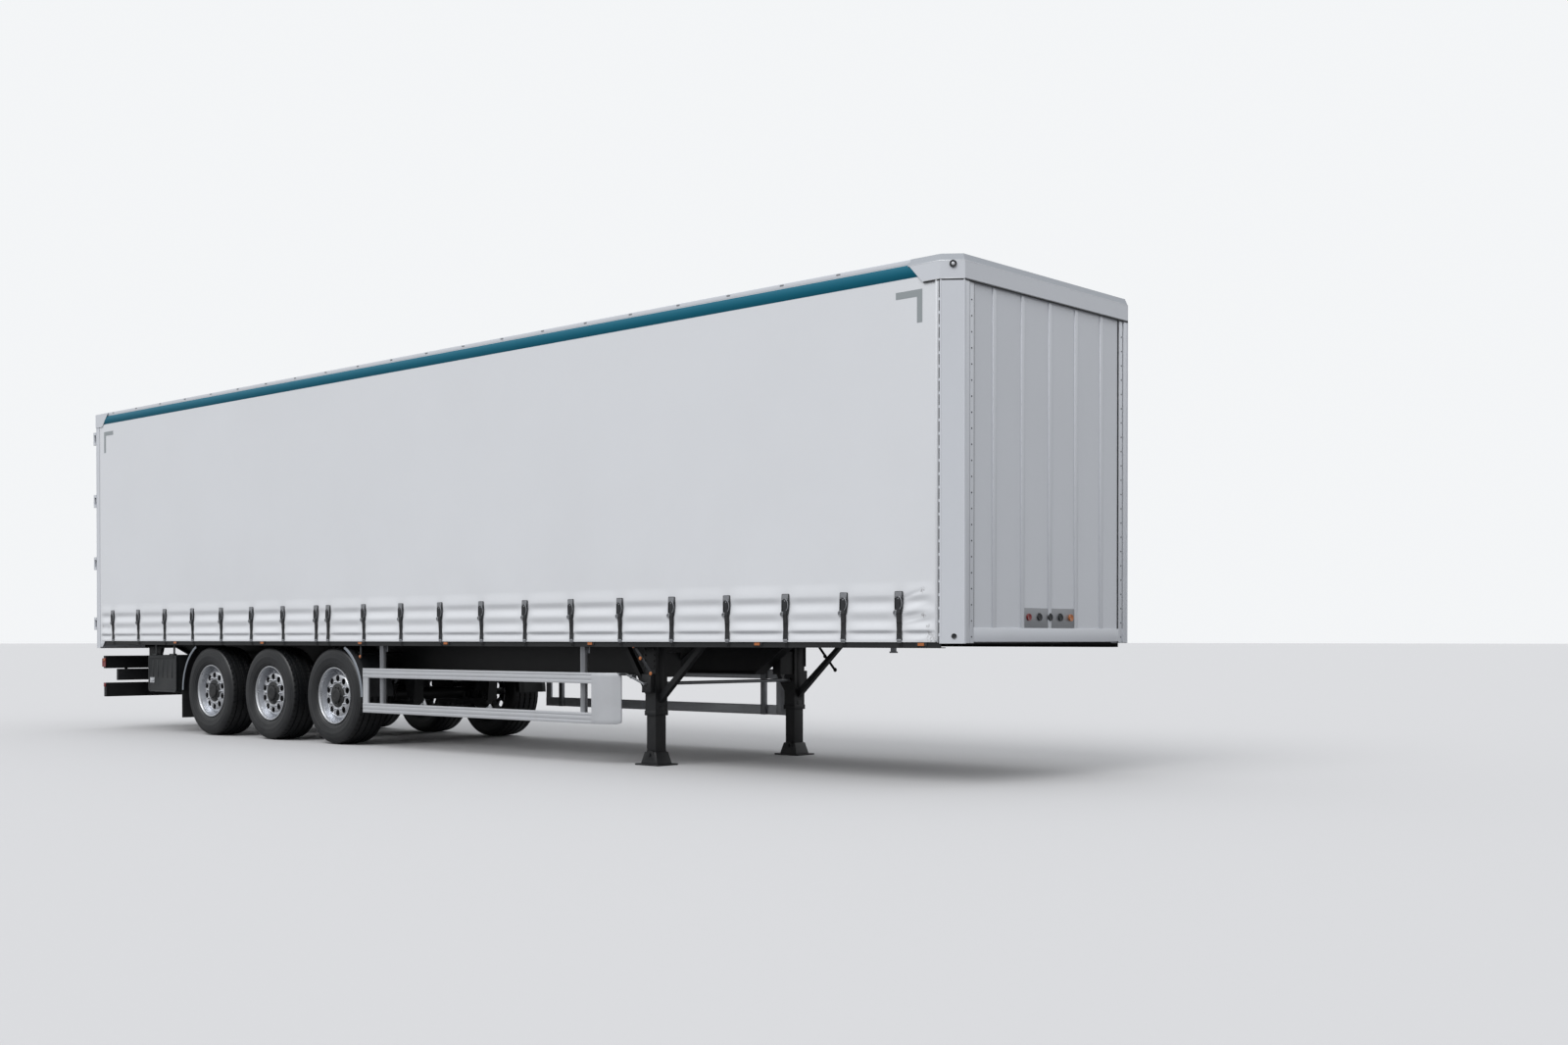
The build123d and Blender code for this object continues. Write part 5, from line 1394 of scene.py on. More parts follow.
def buildMarkerBars(sideName, side, shape):
    bars, markers = [], []
    y = side * shape["barY"]
    for (topX, topZ), (footX, footZ), lamps in shape["bars"]:
        start, end = Vector((bodyRearX + topX, y, topZ)), Vector((bodyRearX + footX, y, footZ))
        run = end - start
        bar = addBox("bar", (-0.014, -0.002, 0.0), (0.014, 0.002, run.length))
        editFaces(bar, lambda centre, normal: abs(normal.y) > 0.9,
                  lambda: bpy.ops.mesh.inset(thickness=0.004, depth=0.0008))   # both flat sides
        softenEdges(bar, 0.0012, 1)
        bar.data.transform(Matrix.Translation(start) @ Matrix.Rotation(atan2(run.x, run.z), 4, "Y"))
        bars.append(bar)
        for lampX, lampZ in lamps:
            foot = Vector((bodyRearX + lampX, y, lampZ))
            base = addRod("base", foot, foot + Vector((0, side * 0.008, 0)),
                          shape["markerRadius"] + 0.004, 24)
            bars.append(softenEdges(base, 0.002, 2))
            lens = addRod("lens", foot + Vector((0, side * 0.006, 0)), foot + Vector((0, side * 0.015, 0)),
                          shape["markerRadius"], 24)
            markers.append(softenEdges(lens, 0.004, 3, 40))
    placeJoined(bars, "marker_bars_" + sideName, "trailer", "black_plastic")
    placeJoined(markers, "marker_lenses_" + sideName, "trailer", "lamp_amber")


def buildRearLamps(shape):
    low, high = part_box("rear_lamps")
    for sideName, side in sideSigns.items():
        case = sideBox("case", side, (low.x + 0.010, high.y - shape["caseLength"], low.z), high)
        softenEdges(case, 0.010, 3, 40)
        placeJoined([case], "rear_lamp_case_" + sideName, "trailer", "black_plastic", "rear_lamps")
        for number, (slotName, share, widthShare) in enumerate(shape["rearLenses"]):
            start = high.y - 0.004 - share * shape["lensField"]
            lens = sideBox("lens", side, (low.x, start - widthShare * shape["lensField"], low.z + 0.010),
                           (low.x + 0.016, start, high.z - 0.010))
            softenEdges(lens, 0.006, 3, 40)
            insetFace(lens, toRear, 0.006, -0.001, limit=0.99)
            placeJoined([lens], f"rear_lamp_lens_{number}_{sideName}", "trailer", slotName, "rear_lamps")


rearShape = {
    "capDepth": 0.009,
    # (stations, heights) of the end caps on the light bar and the underrun bar
    "lightCap": ((0.012, 0.106), (0.775, 0.885)),
    "barCap": ((0.052, 0.104), (0.520, 0.571)),
    "plateCase": ((0.052, 0.100), (-1.036, -0.130), (0.602, 0.748)),
    "gusset": ((0.092, 1.104), (0.216, 1.104), (0.150, 1.030), (0.092, 1.030)),
    "roofEdge": ((0.100, 13.165), (1.2380, 1.2615), (3.9570, 3.9980)),
    "clipPitch": 0.600,
}


def buildRearEnds(sideName, side, shape):
    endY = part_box("light_bar")[1].y
    capY = endY + shape["capDepth"]
    (x0, x1), (z0, z1) = shape["lightCap"]
    middleX = bodyRearX + (x0 + x1) / 2
    cap = sideBox("cap", side, (bodyRearX + x0, endY, z0), (bodyRearX + x1, capY, z1))
    insetFace(cap, (0, side, 0), 0.010, -0.002)
    cap = softenEdges(cap, 0.0035, 3, 40)
    (x0, x1), (z0, z1) = shape["barCap"]
    lower = sideBox("lower", side, (bodyRearX + x0, endY, z0), (bodyRearX + x1, capY, z1))
    lower = softenEdges(lower, 0.0040, 3, 40)
    placeJoined([cap, lower], "bar_end_lamps_" + sideName, "trailer", "lamp_red")
    spot = addRod("spot", (middleX + 0.010, side * (endY + 0.004), 0.862),
                  (middleX + 0.010, side * (capY + 0.0035), 0.862), 0.019, 24)
    placeJoined([softenEdges(spot, 0.004, 3, 40)], "bar_end_spot_" + sideName, "trailer", "lamp_amber")

    # White gusset in the rear frame's lower corner
    gusset = addBox("gusset", (0, 0, 0), (1, 1, 1))
    for point in gusset.data.vertices:
        number = (1 if point.co.x > 0.5 else 0) if point.co.z > 0.5 else (2 if point.co.x > 0.5 else 3)
        x, z = shape["gusset"][number]
        point.co = (bodyRearX + x, side * (1.2585 if point.co.y < 0.5 else 1.2680), z)
    gusset = softenEdges(fixNormals(gusset), 0.0020, 2, 40)
    placeJoined([gusset], "rear_gusset_" + sideName, "trailer", "white_paint")

    # Edge strip along the roof, with the clips of the roof cloth
    (x0, x1), (inner, outer), (z0, z1) = shape["roofEdge"]
    edge = sideBox("edge", side, (bodyRearX + x0, inner, z0), (bodyRearX + x1, outer, z1))
    placeJoined([softenEdges(edge, 0.0070, 4, 40)], "roof_edge_" + sideName, "trailer", "white_paint")
    clips = []
    for number in range(int((x1 - x0) / shape["clipPitch"])):
        x = bodyRearX + x0 + 0.35 + number * shape["clipPitch"]
        clip = sideBox("clip", side, (x - 0.020, outer - 0.004, z1 - 0.020),
                       (x + 0.020, outer + 0.004, z1 - 0.008))
        clips.append(softenEdges(clip, 0.002, 1))
    placeJoined(clips, "roof_clips_" + sideName, "trailer", "galvanised")


def buildPlateCase(shape):
    # Black case under the light bar on the right, hung from two straps
    (x0, x1), (y0, y1), (z0, z1) = shape["plateCase"]
    case = addBox("case", (bodyRearX + x0, y0, z0), (bodyRearX + x1, y1, z1))
    insetFace(case, toRear, 0.012, -0.006)
    parts = [softenEdges(case, 0.006, 3, 40)]
    for y in (y0 + 0.120, y1 - 0.120):
        strap = addBox("strap", (bodyRearX + x0 + 0.012, y - 0.020, z1 - 0.004),
                       (bodyRearX + x0 + 0.020, y + 0.020, 0.758))
        parts.append(softenEdges(strap, 0.0015, 1))
    placeJoined(parts, "rear_lower_case", "trailer", "black_plastic")


for sideName, sideSign in sideSigns.items():
    buildSideLamps(sideName, sideSign, lampShape)
    buildRearEnds(sideName, sideSign, rearShape)
    buildMarkerBars(sideName, sideSign, lampShape)
buildRearLamps(lampShape)
buildPlateCase(rearShape)
print("lamps done")


# Front corners with their slanted posts, header and front wall

frontShape = {
    "cornerLength": 0.145,
    "cornerWidth": 0.115,
    # Stations from the rear beside the curtain's front end
    "tube": 13.419,
    "strip": (13.4295, 13.4400),
    "slotLine": (13.4400, 13.4498),
    "slotPitch": 0.100,
    "slotLow": 1.150,
    "slotHigh": 3.780,
    # Distances from the middle, across the front face
    "flange": (1.0970, 1.1580),
    "innerStrip": (1.0340, 1.0850),
    "jointWidth": 0.012,
    "rivetLine": 1.065,
    "rivetPitch": 0.120,
    "footFitting": (0.57, 1.150),      # share along the slanted face, height
    "cupLamp": (0.52, 3.9180),
    "seamHeight": 3.9400,
    "upperLean": (0.0010, 0.0240),     # how far the upper band is set in, at its foot and its top
    # Stations where the header's pieces begin
    "bandRear": 13.150,
    "rollRear": 13.178,
    "edgeRear": 13.300,
    "markerY": 0.973,
    "markerHeights": (3.880, 3.908),
    "panelRibs": (-0.762, -0.381, 0.0, 0.381, 0.762),
    "panelRivets": (26, 0.100),        # how many down each rib, and their pitch
    "couplings": ((-0.300, "lamp_red", "air_first"), (-0.150, "black_plastic", "socket_first"),
                  (0.0, "black_plastic", "socket_second"), (0.150, "grey_plastic", "socket_third"),
                  (0.300, "lamp_amber", "air_second")),
    "couplingHeight": 1.300,
}


def cornerOutline(rearX, frontX, sideY, shape, grow=0.0):
    # Plan line round the front, from the right side over both slanted corners to the left
    slant = atan2(shape["cornerWidth"], shape["cornerLength"])
    right = [(rearX, -sideY - grow),
             (frontX - shape["cornerLength"] + grow * tan(slant / 2), -sideY - grow),
             (frontX + grow, shape["cornerWidth"] - sideY - grow * tan((pi / 2 - slant) / 2))]
    return right + [(x, -y) for x, y in reversed(right)]


def addBand(name, outline, low, high, thickness):
    # An upright band along a plan line, from one height to another
    path = [(x, y, low) for x, y in outline]
    band = sweepEdge(path[0], (0, 0, high - low), path)
    band.name = name
    if thickness:
        thicken(band, thickness, even=True)
    return fixNormals(band)


def buildCorner(sideName, side, shape):
    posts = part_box("front_posts")
    frontX, sideY = posts[1].x, posts[1].y
    low, high = posts[0].z, posts[1].z
    # The curtain's front edge is wound round a tube that stands in two square bearings
    tubeX, tubeY = bodyRearX + shape["tube"], side * (sideY - 0.0065)
    tube = addRod("tube", (tubeX, tubeY, low + 0.030), (tubeX, tubeY, high - 0.012), 0.0105, 20)
    softenEdges(tube, 0.002, 2, 60)
    placeJoined([tube], "curtain_front_roll_" + sideName, "trailer", "curtain_fabric", angle=50)
    metal = []
    for z0, z1 in ((low + 0.012, low + 0.032), (high - 0.014, high - 0.004)):
        bearing = sideBox("bearing", side, (tubeX - 0.009, sideY - 0.018, z0),
                          (tubeX + 0.009, sideY + 0.004, z1))
        metal.append(softenEdges(bearing, 0.002, 2))
    stripLow, stripHigh = (bodyRearX + station for station in shape["strip"])
    strip = sideBox("tensionStrip", side, (stripLow, sideY - 0.014, low + 0.006),
                    (stripHigh, sideY + 0.0010, high - 0.004))
    metal.append(softenEdges(strip, 0.002, 2, 40))
    placeJoined(metal, "post_tension_strip_" + sideName, "trailer", "aluminium")
    lineLow, lineHigh = (bodyRearX + station for station in shape["slotLine"])
    seal = sideBox("seal", side, (lineLow, sideY - 0.012, low + 0.004),
                   (lineHigh, sideY - 0.0030, high - 0.002))
    placeJoined([softenEdges(seal, 0.0015, 1)], "post_seal_" + sideName, "trailer", "rubber")
    teeth = []
    for number in range(int((shape["slotHigh"] - shape["slotLow"]) / shape["slotPitch"])):
        z = shape["slotLow"] + number * shape["slotPitch"]
        teeth.append(sideBox("tooth", side, (lineLow + 0.0015, sideY - 0.0040, z),
                             (lineHigh - 0.0005, sideY - 0.0005, z + 0.020)))
    place(joinAll(teeth, "post_slot_bridges_" + sideName), "trailer", "white_paint")

    # Slanted face: a bead down each of its edges, and a round fitting low down
    startX, endY = frontX - shape["cornerLength"], sideY - shape["cornerWidth"]
    beads = []
    for x, y in ((startX + 0.0010, sideY - 0.0065), (frontX - 0.0068, endY - 0.0005)):
        beads.append(addRod("edgeBead", (x, side * y, low + 0.003), (x, side * y, high - 0.003), 0.0066, 16))
    placeJoined(beads, "post_beads_" + sideName, "trailer", "white_paint", angle=50)
    outwards = Vector((shape["cornerWidth"], side * shape["cornerLength"], 0)).normalized()

    def onSlant(share, height, out):
        x = startX + share * shape["cornerLength"]
        y = side * (sideY - share * shape["cornerWidth"])
        return Vector((x, y, height)) + outwards * out

    share, z = shape["footFitting"]
    ring = addRod("ring", onSlant(share, z, -0.003), onSlant(share, z, 0.0055), 0.020, 28)
    insetFace(ring, outwards, 0.0055, -0.0045)
    pin = addRod("pin", onSlant(share, z, -0.001), onSlant(share, z, 0.0040), 0.006, 16)
    placeJoined([softenEdges(ring, 0.0015, 2, 40), softenEdges(pin, 0.001, 1)], "post_fitting_" + sideName,
                "trailer", "black_plastic")

    # Front face: flange of the post, a joint, a riveted strip and a second joint to the panel
    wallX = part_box("front_wall")[1].x
    plates = []
    for (inner, outer), depth in ((shape["flange"], 0.0180), (shape["innerStrip"], 0.0120)):
        plate = sideBox("plate", side, (wallX - 0.0005, inner, low + 0.003),
                        (wallX + depth, outer, high - 0.003))
        plates.append(softenEdges(plate, 0.0025, 2, 40))
    placeJoined(plates, "post_flanges_" + sideName, "trailer", "white_paint")
    joints = []
    stripInner, stripOuter = shape["innerStrip"]
    for inner, outer in ((stripOuter, shape["flange"][0]), (stripInner - shape["jointWidth"], stripInner)):
        joint = sideBox("joint", side, (wallX - 0.0005, inner, low + 0.003),
                        (wallX + 0.0060, outer, high - 0.003))
        joints.append(softenEdges(joint, 0.0008, 1))
    y = side * shape["rivetLine"]
    for number in range(int((high - low - 0.10) / shape["rivetPitch"]) + 1):
        rivetZ = low + 0.05 + number * shape["rivetPitch"]
        rivet = addRod("rivet", (wallX + 0.0110, y, rivetZ), (wallX + 0.0150, y, rivetZ), 0.0060, 10)
        joints.append(softenEdges(rivet, 0.0012, 1, 40))
    placeJoined(joints, "post_joints_" + sideName, "trailer", "rubber")

    # Cup lamp on the header's slanted face, with a bright middle
    share, z = shape["cupLamp"]
    cup = addRod("cup", onSlant(share, z, -0.004), onSlant(share, z, 0.0120), 0.027, 32)
    insetFace(cup, outwards, 0.007, -0.007)
    placeJoined([softenEdges(cup, 0.0025, 2, 40)], "corner_lamp_cup_" + sideName, "trailer", "black_plastic")
    lens = addRod("lens", onSlant(share, z, 0.001), onSlant(share, z, 0.0100), 0.0135, 24)
    insetFace(lens, outwards, 0.0040, 0.0015)
    placeJoined([softenEdges(lens, 0.0020, 2, 40)], "corner_lamp_middle_" + sideName, "trailer", "aluminium")


def buildFrontDetails(shape):
    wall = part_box("front_wall")
    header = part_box("front_header")
    frontX, sideY = header[1].x, header[1].y
    for sideName, side in sideSigns.items():
        buildCorner(sideName, side, shape)

    # Header: a bright lower edge over a dark band of painted shade in the gap below it, and a roll where the upper
    # band starts to lean
    edgeRear = bodyRearX + shape["edgeRear"]
    lowerEdge = cornerOutline(edgeRear, frontX - 0.0015, sideY, shape, -0.0010)
    # Painted shade: a dark rubber band fills the gap under the header's lower edge
    gapShade = addBand("header_gap_shade_band", lowerEdge, header[0].z - 0.0110, header[0].z - 0.0002, 0.0050)
    place(shadeSmooth(gapShade, 30), "trailer", "rubber")
    seamZ = shape["seamHeight"]
    roll = addBand("header_roll", cornerOutline(bodyRearX + shape["rollRear"], frontX, sideY, shape, -0.0042),
                   seamZ - 0.0010, seamZ + 0.0075, 0.0080)
    place(shadeSmooth(softenEdges(roll, 0.0024, 2, 40), 40), "trailer", "aluminium")
    # Upper band, steep and set in a little at its top
    footIn, topIn = shape["upperLean"]
    rear = bodyRearX + shape["bandRear"]
    foot = cornerOutline(rear, frontX, sideY, shape, -footIn - 0.0010)
    top = cornerOutline(rear - 0.020, frontX, sideY, shape, -topIn - 0.0010)
    band = addBand("header_upper_band", foot, seamZ, header[1].z - 0.0015, 0.0)
    for point in band.data.vertices:
        if point.co.z > seamZ + 0.001:
            nearest = min(range(len(foot)), key=lambda number: (point.co.xy - Vector(foot[number])).length)
            point.co.x, point.co.y = top[nearest]
    thicken(band, 0.0020)
    # Painted shade: the upper band is white paint, drawn in a darker grey copy of it
    place(shadeSmooth(band, 30), "trailer", "white_paint", finish="header_painted_shade")
    lip = addBand("header_lip", cornerOutline(edgeRear, frontX - 0.0007, sideY, shape, -0.0008),
                  header[0].z, header[0].z + 0.0065, 0.0030)
    place(shadeSmooth(softenEdges(lip, 0.0010, 1, 40), 40), "trailer", "aluminium")
    lampParts = []
    for side in (-1, 1):
        y, (z0, z1) = side * shape["markerY"], shape["markerHeights"]
        lamp = addBox("lamp", (frontX - 0.006, y - 0.022, z0), (frontX - 0.0002, y + 0.022, z1))
        insetFace(lamp, toFront, 0.005, -0.002)
        lampParts.append(softenEdges(lamp, 0.0015, 1))
    placeJoined(lampParts, "header_markers", "trailer", "black_plastic")

    # Front wall: joint strips between the panels, a kick plate and rivets
    faceX = wall[1].x
    ribs = []
    for y in shape["panelRibs"]:
        rib = addBox("rib", (faceX - 0.001, y - 0.024, wall[0].z + 0.010),
                     (faceX + 0.006, y + 0.024, wall[1].z - 0.004))
        insetFace(rib, toFront, 0.009, 0.003)
        ribs.append(softenEdges(rib, 0.0015, 1, 40))
    kick = addBox("kickPlate", (faceX - 0.001, wall[0].y + 0.004, wall[0].z + 0.004),
                  (faceX + 0.010, wall[1].y - 0.004, wall[0].z + 0.110))
    ribs.append(softenEdges(kick, 0.003, 2, 40))
    placeJoined(ribs, "front_wall_strips", "trailer", "white_paint")
    rivets = []
    count, pitch = shape["panelRivets"]
    for y in shape["panelRibs"]:
        for number in range(count):
            z = wall[0].z + 0.15 + number * pitch
            rivets.append(addRod("rivet", (faceX + 0.005, y - 0.018, z),
                                 (faceX + 0.0085, y - 0.018, z), 0.0045, 8))
    placeJoined(rivets, "front_wall_rivets", "trailer", "aluminium")

    # Couplings: two air heads, and three sockets with sprung covers, on one plate
    plate = addBox("plate", (faceX - 0.001, -0.385, 1.215), (faceX + 0.004, 0.385, 1.372))
    placeJoined([softenEdges(plate, 0.002, 2)], "coupling_plate", "trailer", "galvanised", "front_couplings")
    z = shape["couplingHeight"]
    for y, slotName, label in shape["couplings"]:
        head = addRod("head", (faceX + 0.002, y, z), (faceX + 0.0195, y, z), 0.0275, 32)
        insetFace(head, toFront, 0.007, -0.003)
        softenEdges(head, 0.002, 2, 40)
        if label.startswith("socket"):
            cover = addBox("cover", (faceX + 0.004, y - 0.010, z + 0.020),
                           (faceX + 0.0165, y + 0.010, z + 0.034))
            head = joinAll([head, softenEdges(cover, 0.002, 1)], "head")
        placeJoined([head], "coupling_" + label, "trailer", slotName, "front_couplings")


buildFrontDetails(frontShape)
print("front done")


# Landing legs: gearbox, crank in its clip, stiffener strips, bolted brackets and sand shoes

legShape = {
    "length": 0.133,
    "width": 0.145,
    "y": 0.927,
    "shaftHeight": 0.730,
    "tubeWall": 0.0083,       # from the housing's outside to the inner leg
    # Stiffener strips: their half sizes, and the heights between which they stop
    "stripHalf": (0.0035, 0.030),
    "stripGap": (0.530, 0.660),
    "collar": (0.006, 0.045),          # how far it stands out, and its height
    # Gear case: half length, reach beyond the housing, heights and bolts from the shaft
    "caseHalf": 0.058,
    "caseReach": 0.052,
    "caseHeights": (-0.080, 0.090),
    "caseBolts": ((-0.046, 0.046), (-0.066, 0.076)),
    # Mounting plate: half length, thickness, heights and heights of its bolts
    "plateHalf": 0.080,
    "plateThick": 0.010,
    "plateHeights": (0.860, 1.060),
    "plateBolts": (0.885, 0.935, 0.985, 1.035),
    # Sand shoe: half sizes and heights of its plate, cheeks, socket and inner leg
    "shoeHalf": (0.150, 0.125),
    "shoeHeights": (0.0, 0.016),
    "cheekY": 0.085,
    "cheekHalf": (0.075, 0.004),
    "cheekHeights": (0.010, 0.128),
    "socketHalf": (0.072, 0.078),
    "socketHeights": (0.012, 0.120),
    "innerHeights": (0.060, 0.760),
    "pivot": (0.095, 0.100, 0.017),    # height, half length and radius
    # Crank: its arm's end from the shaft, along and up, and how far out the arm and the grip go
    "armEnd": (-0.235, 0.085),
    "gripStart": (-0.232, 0.084),
    "armOut": 0.030,
    "gripOut": 0.120,
}


def buildLegs(shape):
    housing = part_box("leg_housings")
    legX = (housing[0].x + housing[1].x) / 2
    halfLength, halfWidth = shape["length"] / 2, shape["width"] / 2
    gapFoot, gapTop = shape["stripGap"]
    caseHalf, caseReach = shape["caseHalf"], shape["caseReach"]
    for sideName, side in sideSigns.items():
        parts = []
        for way in (-1, 1):
            x = legX + way * (halfLength + 0.0005)
            for z0, z1 in ((housing[0].z + 0.004, gapFoot), (gapTop, housing[1].z - 0.012)):
                strip = midBox("strip", x, side * shape["y"], shape["stripHalf"], (z0, z1))
                parts.append(softenEdges(strip, 0.003, 2))
        y, z = side * shape["y"], housing[0].z
        lip, height = shape["collar"]
        collar = midBox("collar", legX, y, (halfLength + lip, halfWidth + lip), (z, z + height))
        insetFace(collar, downwards, 0.016)
        parts.append(softenEdges(collar, 0.004, 2))
        outerY = shape["y"] + halfWidth
        low, high = [shape["shaftHeight"] + z for z in shape["caseHeights"]]
        gearCase = sideBox("gearCase", side, (legX - caseHalf, outerY - 0.001, low),
                           (legX + caseHalf, outerY + caseReach, high))
        insetFace(gearCase, (0, side, 0), 0.014, 0.006)
        parts.append(softenEdges(gearCase, 0.006, 3, 40))
        for dx in shape["caseBolts"][0]:
            for dz in shape["caseBolts"][1]:
                x, z = legX + dx, shape["shaftHeight"] + dz
                parts.append(addRod("bolt", (x, side * (outerY + caseReach - 0.002), z),
                                    (x, side * (outerY + caseReach + 0.006), z), 0.007, 6))
        thick, (z0, z1) = shape["plateThick"], shape["plateHeights"]
        plate = sideBox("mountPlate", side, (legX - shape["plateHalf"], outerY - 0.0005, z0),
                        (legX + shape["plateHalf"], outerY + thick, z1))
        parts.append(softenEdges(plate, 0.004, 2))
        for x in (legX - caseHalf, legX + caseHalf):
            for z in shape["plateBolts"]:
                parts.append(addRod("bolt", (x, side * (outerY + thick - 0.002), z),
                                    (x, side * (outerY + thick + 0.009), z), 0.010, 6))
        placeJoined(parts, "leg_fittings_" + sideName, "trailer", "chassis_steel")

        # Sand shoe: dished plate, and two cheeks that hold the pivot
        shoeParts = []
        for way in (-1, 1):
            cheekY = y + way * shape["cheekY"]
            cheek = midBox("cheek", legX, cheekY, shape["cheekHalf"], shape["cheekHeights"])
            taperFace(cheek, upwards, (0.5, 1, 1))
            shoeParts.append(softenEdges(cheek, 0.002, 1, 40))
        z, half, radius = shape["pivot"]
        shoeParts.append(addRod("pivot", (legX, y - half, z), (legX, y + half, z), radius, 20))
        rim = midBox("rim", legX, y, shape["shoeHalf"], shape["shoeHeights"])
        insetFace(rim, upwards, 0.012, -0.004)
        shoeParts.append(softenEdges(rim, 0.003, 2, 40))
        foot = midBox("socket", legX, y, shape["socketHalf"], shape["socketHeights"])
        taperFace(foot, downwards, (1.5, 1.2, 1))
        shoeParts.append(softenEdges(foot, 0.006, 3, 30))
        innerHalf = (halfLength - shape["tubeWall"], halfWidth - shape["tubeWall"])
        inner = midBox("innerLeg", legX, y, innerHalf, shape["innerHeights"])
        shoeParts.append(softenEdges(inner, 0.004, 2, 40))
        placeJoined(shoeParts, "leg_shoe_" + sideName, "trailer", "chassis_steel", "landing_feet")

    # Hand crank on the right, folded back and held in its clip
    startY = -(shape["y"] + halfWidth + caseReach)
    z = shape["shaftHeight"]
    armY = startY - shape["armOut"]
    armX, armZ = legX + shape["armEnd"][0], z + shape["armEnd"][1]
    gripX, gripZ = legX + shape["gripStart"][0], z + shape["gripStart"][1]
    crank = [
        addRod("stub", (legX, startY + 0.01, z), (legX, armY - 0.005, z), 0.013, 16),
        addRod("arm", (legX, armY, z), (armX, armY, armZ), 0.010, 16),
        addRod("grip", (gripX, armY - 0.002, gripZ), (gripX, startY - shape["gripOut"], gripZ), 0.012, 16),
    ]
    clip = addBox("clip", (legX - 0.170, startY - 0.045, z + 0.045),
                  (legX - 0.145, startY + 0.020, z + 0.080))
    crank.append(softenEdges(clip, 0.003, 1))
    placeJoined(crank, "leg_crank", "trailer", "galvanised")


buildLegs(legShape)
print("legs done")


# Running gear: ribbed air springs, brake chambers, shock absorbers, clamps and hanger bolts

gearShape = {
    "stations": (5.290, 4.000, 2.710),
    "armY": 0.500,
    # Air spring: its distance behind the axle, and the bellows' heights and radii up to the neck
    "springBehind": 0.380,
    "bellows": ((0.0, 0.0), (0.0, 0.095), (0.020, 0.098), (0.090, 0.084), (0.100, 0.098), (0.112, 0.116),
                (0.135, 0.1245), (0.175, 0.1240), (0.200, 0.1180), (0.212, 0.1150), (0.225, 0.1185),
                (0.262, 0.1240), (0.290, 0.1180), (0.300, 0.1000)),
    "neckRadius": 0.0980,
    # Axle clamp: half sizes and heights of the saddle and the plate, and the U-bolts
    "saddleHalf": (0.090, 0.052),
    "saddleHeights": (0.440, 0.470),
    "clampHalf": (0.095, 0.050),
    "clampHeights": (0.380, 0.398),
    "boltOffsets": (0.074, 0.034),
    "boltHeights": (0.368, 0.530),
    # Hanger pivot: half length and radius of the bolt, then of its nut
    "hangerAhead": 0.500,
    "pivotHeight": 0.478,
    "pivotBolt": (0.082, 0.030),
    "pivotNut": (0.095, 0.021),
    # Shock absorber: foot and head ahead of the axle and up, the body's length, half length of the eyes
    "damperY": 0.072,
    "damperFoot": (0.105, 0.440),
    "damperHead": (0.300, 0.800),
    "damperBody": 0.240,
    "eyeHalf": 0.045,
    # Brake chamber: its middle behind the axle and up, how it runs forwards, and its radii
    "chamberY": 0.690,
    "chamberMiddle": (-0.330, 0.560),
    "chamberRun": (0.105, -0.012),
    "chamberRadii": (0.080, 0.088, 0.070),
    "bracketAlong": (-0.225, -0.030),
    "bracketHeights": (0.470, 0.482),
    "tankStrapY": 0.330,
}


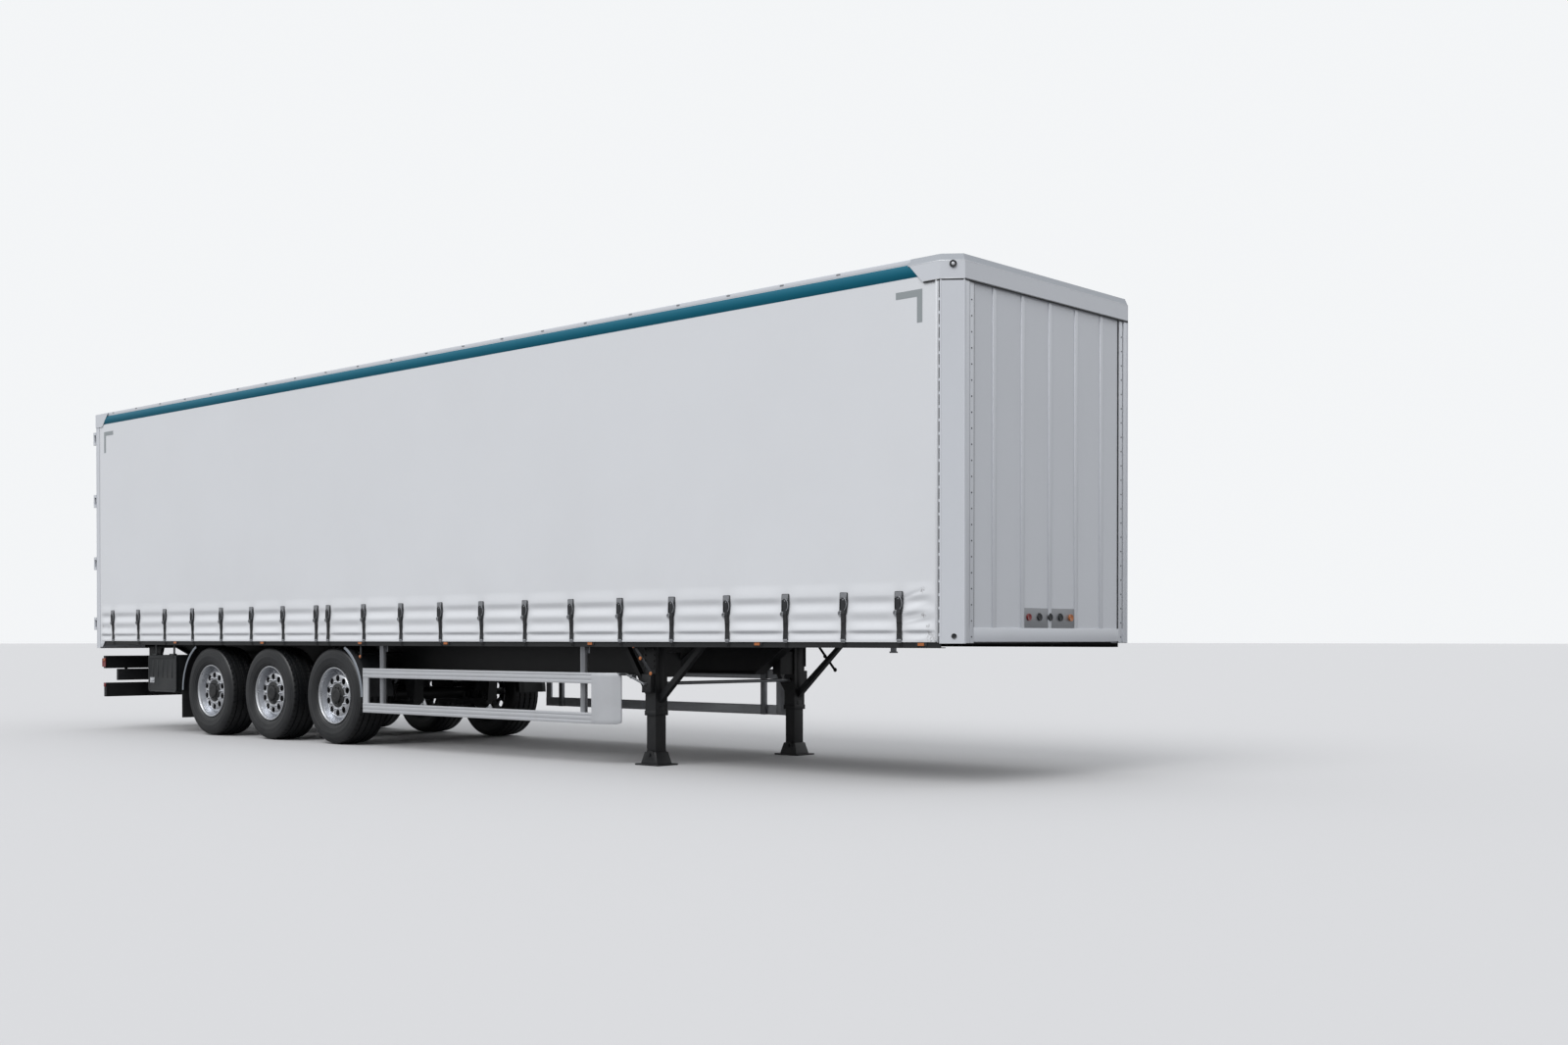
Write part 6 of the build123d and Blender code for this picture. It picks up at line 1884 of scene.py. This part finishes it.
def buildRunningGear(shape):
    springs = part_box("air_springs")
    bellows, steel, bright = [], [], []
    height = springs[1].z - springs[0].z
    profile = list(shape["bellows"]) + [(height, shape["neckRadius"]), (height, 0.0)]
    template = spinProfile("bellows", profile, steps=40)
    template.data.transform(Matrix.Rotation(radians(90), 4, "X"))
    shadeSmooth(template, 45)
    for station in shape["stations"]:
        axleX = bodyRearX + station
        for side in (-1, 1):
            armY = side * shape["armY"]
            springX = axleX - shape["springBehind"]
            bellows.append(stamp(template, "bellows", Matrix.Translation((springX, armY, springs[0].z))))
            # Axle clamp: saddle block and two U-bolts round the tube
            saddle = midBox("saddle", axleX, armY, shape["saddleHalf"], shape["saddleHeights"])
            steel.append(softenEdges(saddle, 0.006, 2))
            lower = midBox("clampPlate", axleX, armY, shape["clampHalf"], shape["clampHeights"])
            steel.append(softenEdges(lower, 0.004, 2))
            (offX, offY), (z0, z1) = shape["boltOffsets"], shape["boltHeights"]
            for x in (axleX - offX, axleX + offX):
                for y in (armY - offY, armY + offY):
                    steel.append(addRod("uBolt", (x, y, z0), (x, y, z1), 0.010, 10))
            # Hanger pivot and its bolt
            x, z = axleX + shape["hangerAhead"], shape["pivotHeight"]
            for label, sides in (("pivotBolt", 20), ("pivotNut", 6)):
                half, radius = shape[label]
                steel.append(addRod(label, (x, armY - half, z), (x, armY + half, z), radius, sides))
            # Shock absorber from the arm to the rail
            y = armY + side * shape["damperY"]
            low, high = [Vector((axleX + dx, y, z)) for dx, z in (shape["damperFoot"], shape["damperHead"])]
            along = (high - low).normalized()
            steel.append(addRod("damperBody", low, low + along * shape["damperBody"], 0.036, 20))
            rodStart = low + along * (shape["damperBody"] - 0.005)
            bright.append(addRod("damperRod", rodStart, high, 0.016, 16))
            halfEye = Vector((0, shape["eyeHalf"], 0))
            for eye in (low, high):
                steel.append(addRod("damperEye", eye - halfEye, eye + halfEye, 0.024, 16))
            # Brake chamber behind the axle with its push rod
            y = side * shape["chamberY"]
            rear = Vector((axleX + shape["chamberMiddle"][0], y, shape["chamberMiddle"][1]))
            front = rear + Vector((shape["chamberRun"][0], 0, shape["chamberRun"][1]))
            radius, bandRadius, rearRadius = shape["chamberRadii"]
            steel.append(addRod("chamber", rear, front, radius, 28))
            steel.append(addRod("chamberBand", rear + Vector((0.046, 0, -0.005)),
                                rear + Vector((0.060, 0, -0.007)), bandRadius, 28))
            steel.append(addRod("chamberRear", rear + Vector((-0.090, 0, 0.010)), rear, rearRadius, 28))
            bright.append(addRod("pushRod", front, (axleX - 0.045, y, 0.540), 0.009, 12))
            (x0, x1), (z0, z1) = shape["bracketAlong"], shape["bracketHeights"]
            bracket = addBox("bracket", (axleX + x0, y - 0.045, z0), (axleX + x1, y + 0.045, z1))
            steel.append(softenEdges(bracket, 0.003, 1))
    place(joinAll(bellows, "air_bellows"), "trailer", "rubber", "air_springs")
    placeJoined(steel, "running_gear_steel", "trailer", "chassis_steel")
    placeJoined(bright, "running_gear_rods", "trailer", "galvanised")
    discard(template)

    # Air tanks: domed ends, weld rings and straps
    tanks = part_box("air_tanks")
    radius = (tanks[1].z - tanks[0].z) / 2
    half = (tanks[1].y - tanks[0].y) / 2
    section = [(-half, 0.0), (-half + 0.006, radius * 0.55), (-half + 0.030, radius * 0.88),
               (-half + 0.058, radius * 0.99), (-half + 0.060, radius - 0.004), (-half + 0.066, radius),
               (-half + 0.072, radius - 0.004)]
    profile = section + [(-along, out) for along, out in reversed(section)]
    strapLine = [(-0.020, radius + 0.0002), (0.020, radius + 0.0002)]
    tankParts, strapParts = [], []
    for x in (tanks[0].x + radius, tanks[1].x - radius):
        z = tanks[0].z + radius
        tankParts.append(spinProfile("tank", profile, (x, 0, z), 48))
        for y in (-shape["tankStrapY"], shape["tankStrapY"]):
            band = spinArc("band", strapLine, (x, y, z), 0, 2 * pi, 48)
            strapParts.append(thicken(band, 0.003, offset=1))
    placeJoined(tankParts, "air_tank_shells", "trailer", "chassis_steel", "air_tanks")
    placeJoined(strapParts, "air_tank_bands", "trailer", "galvanised")


buildRunningGear(gearShape)
print("running gear done")
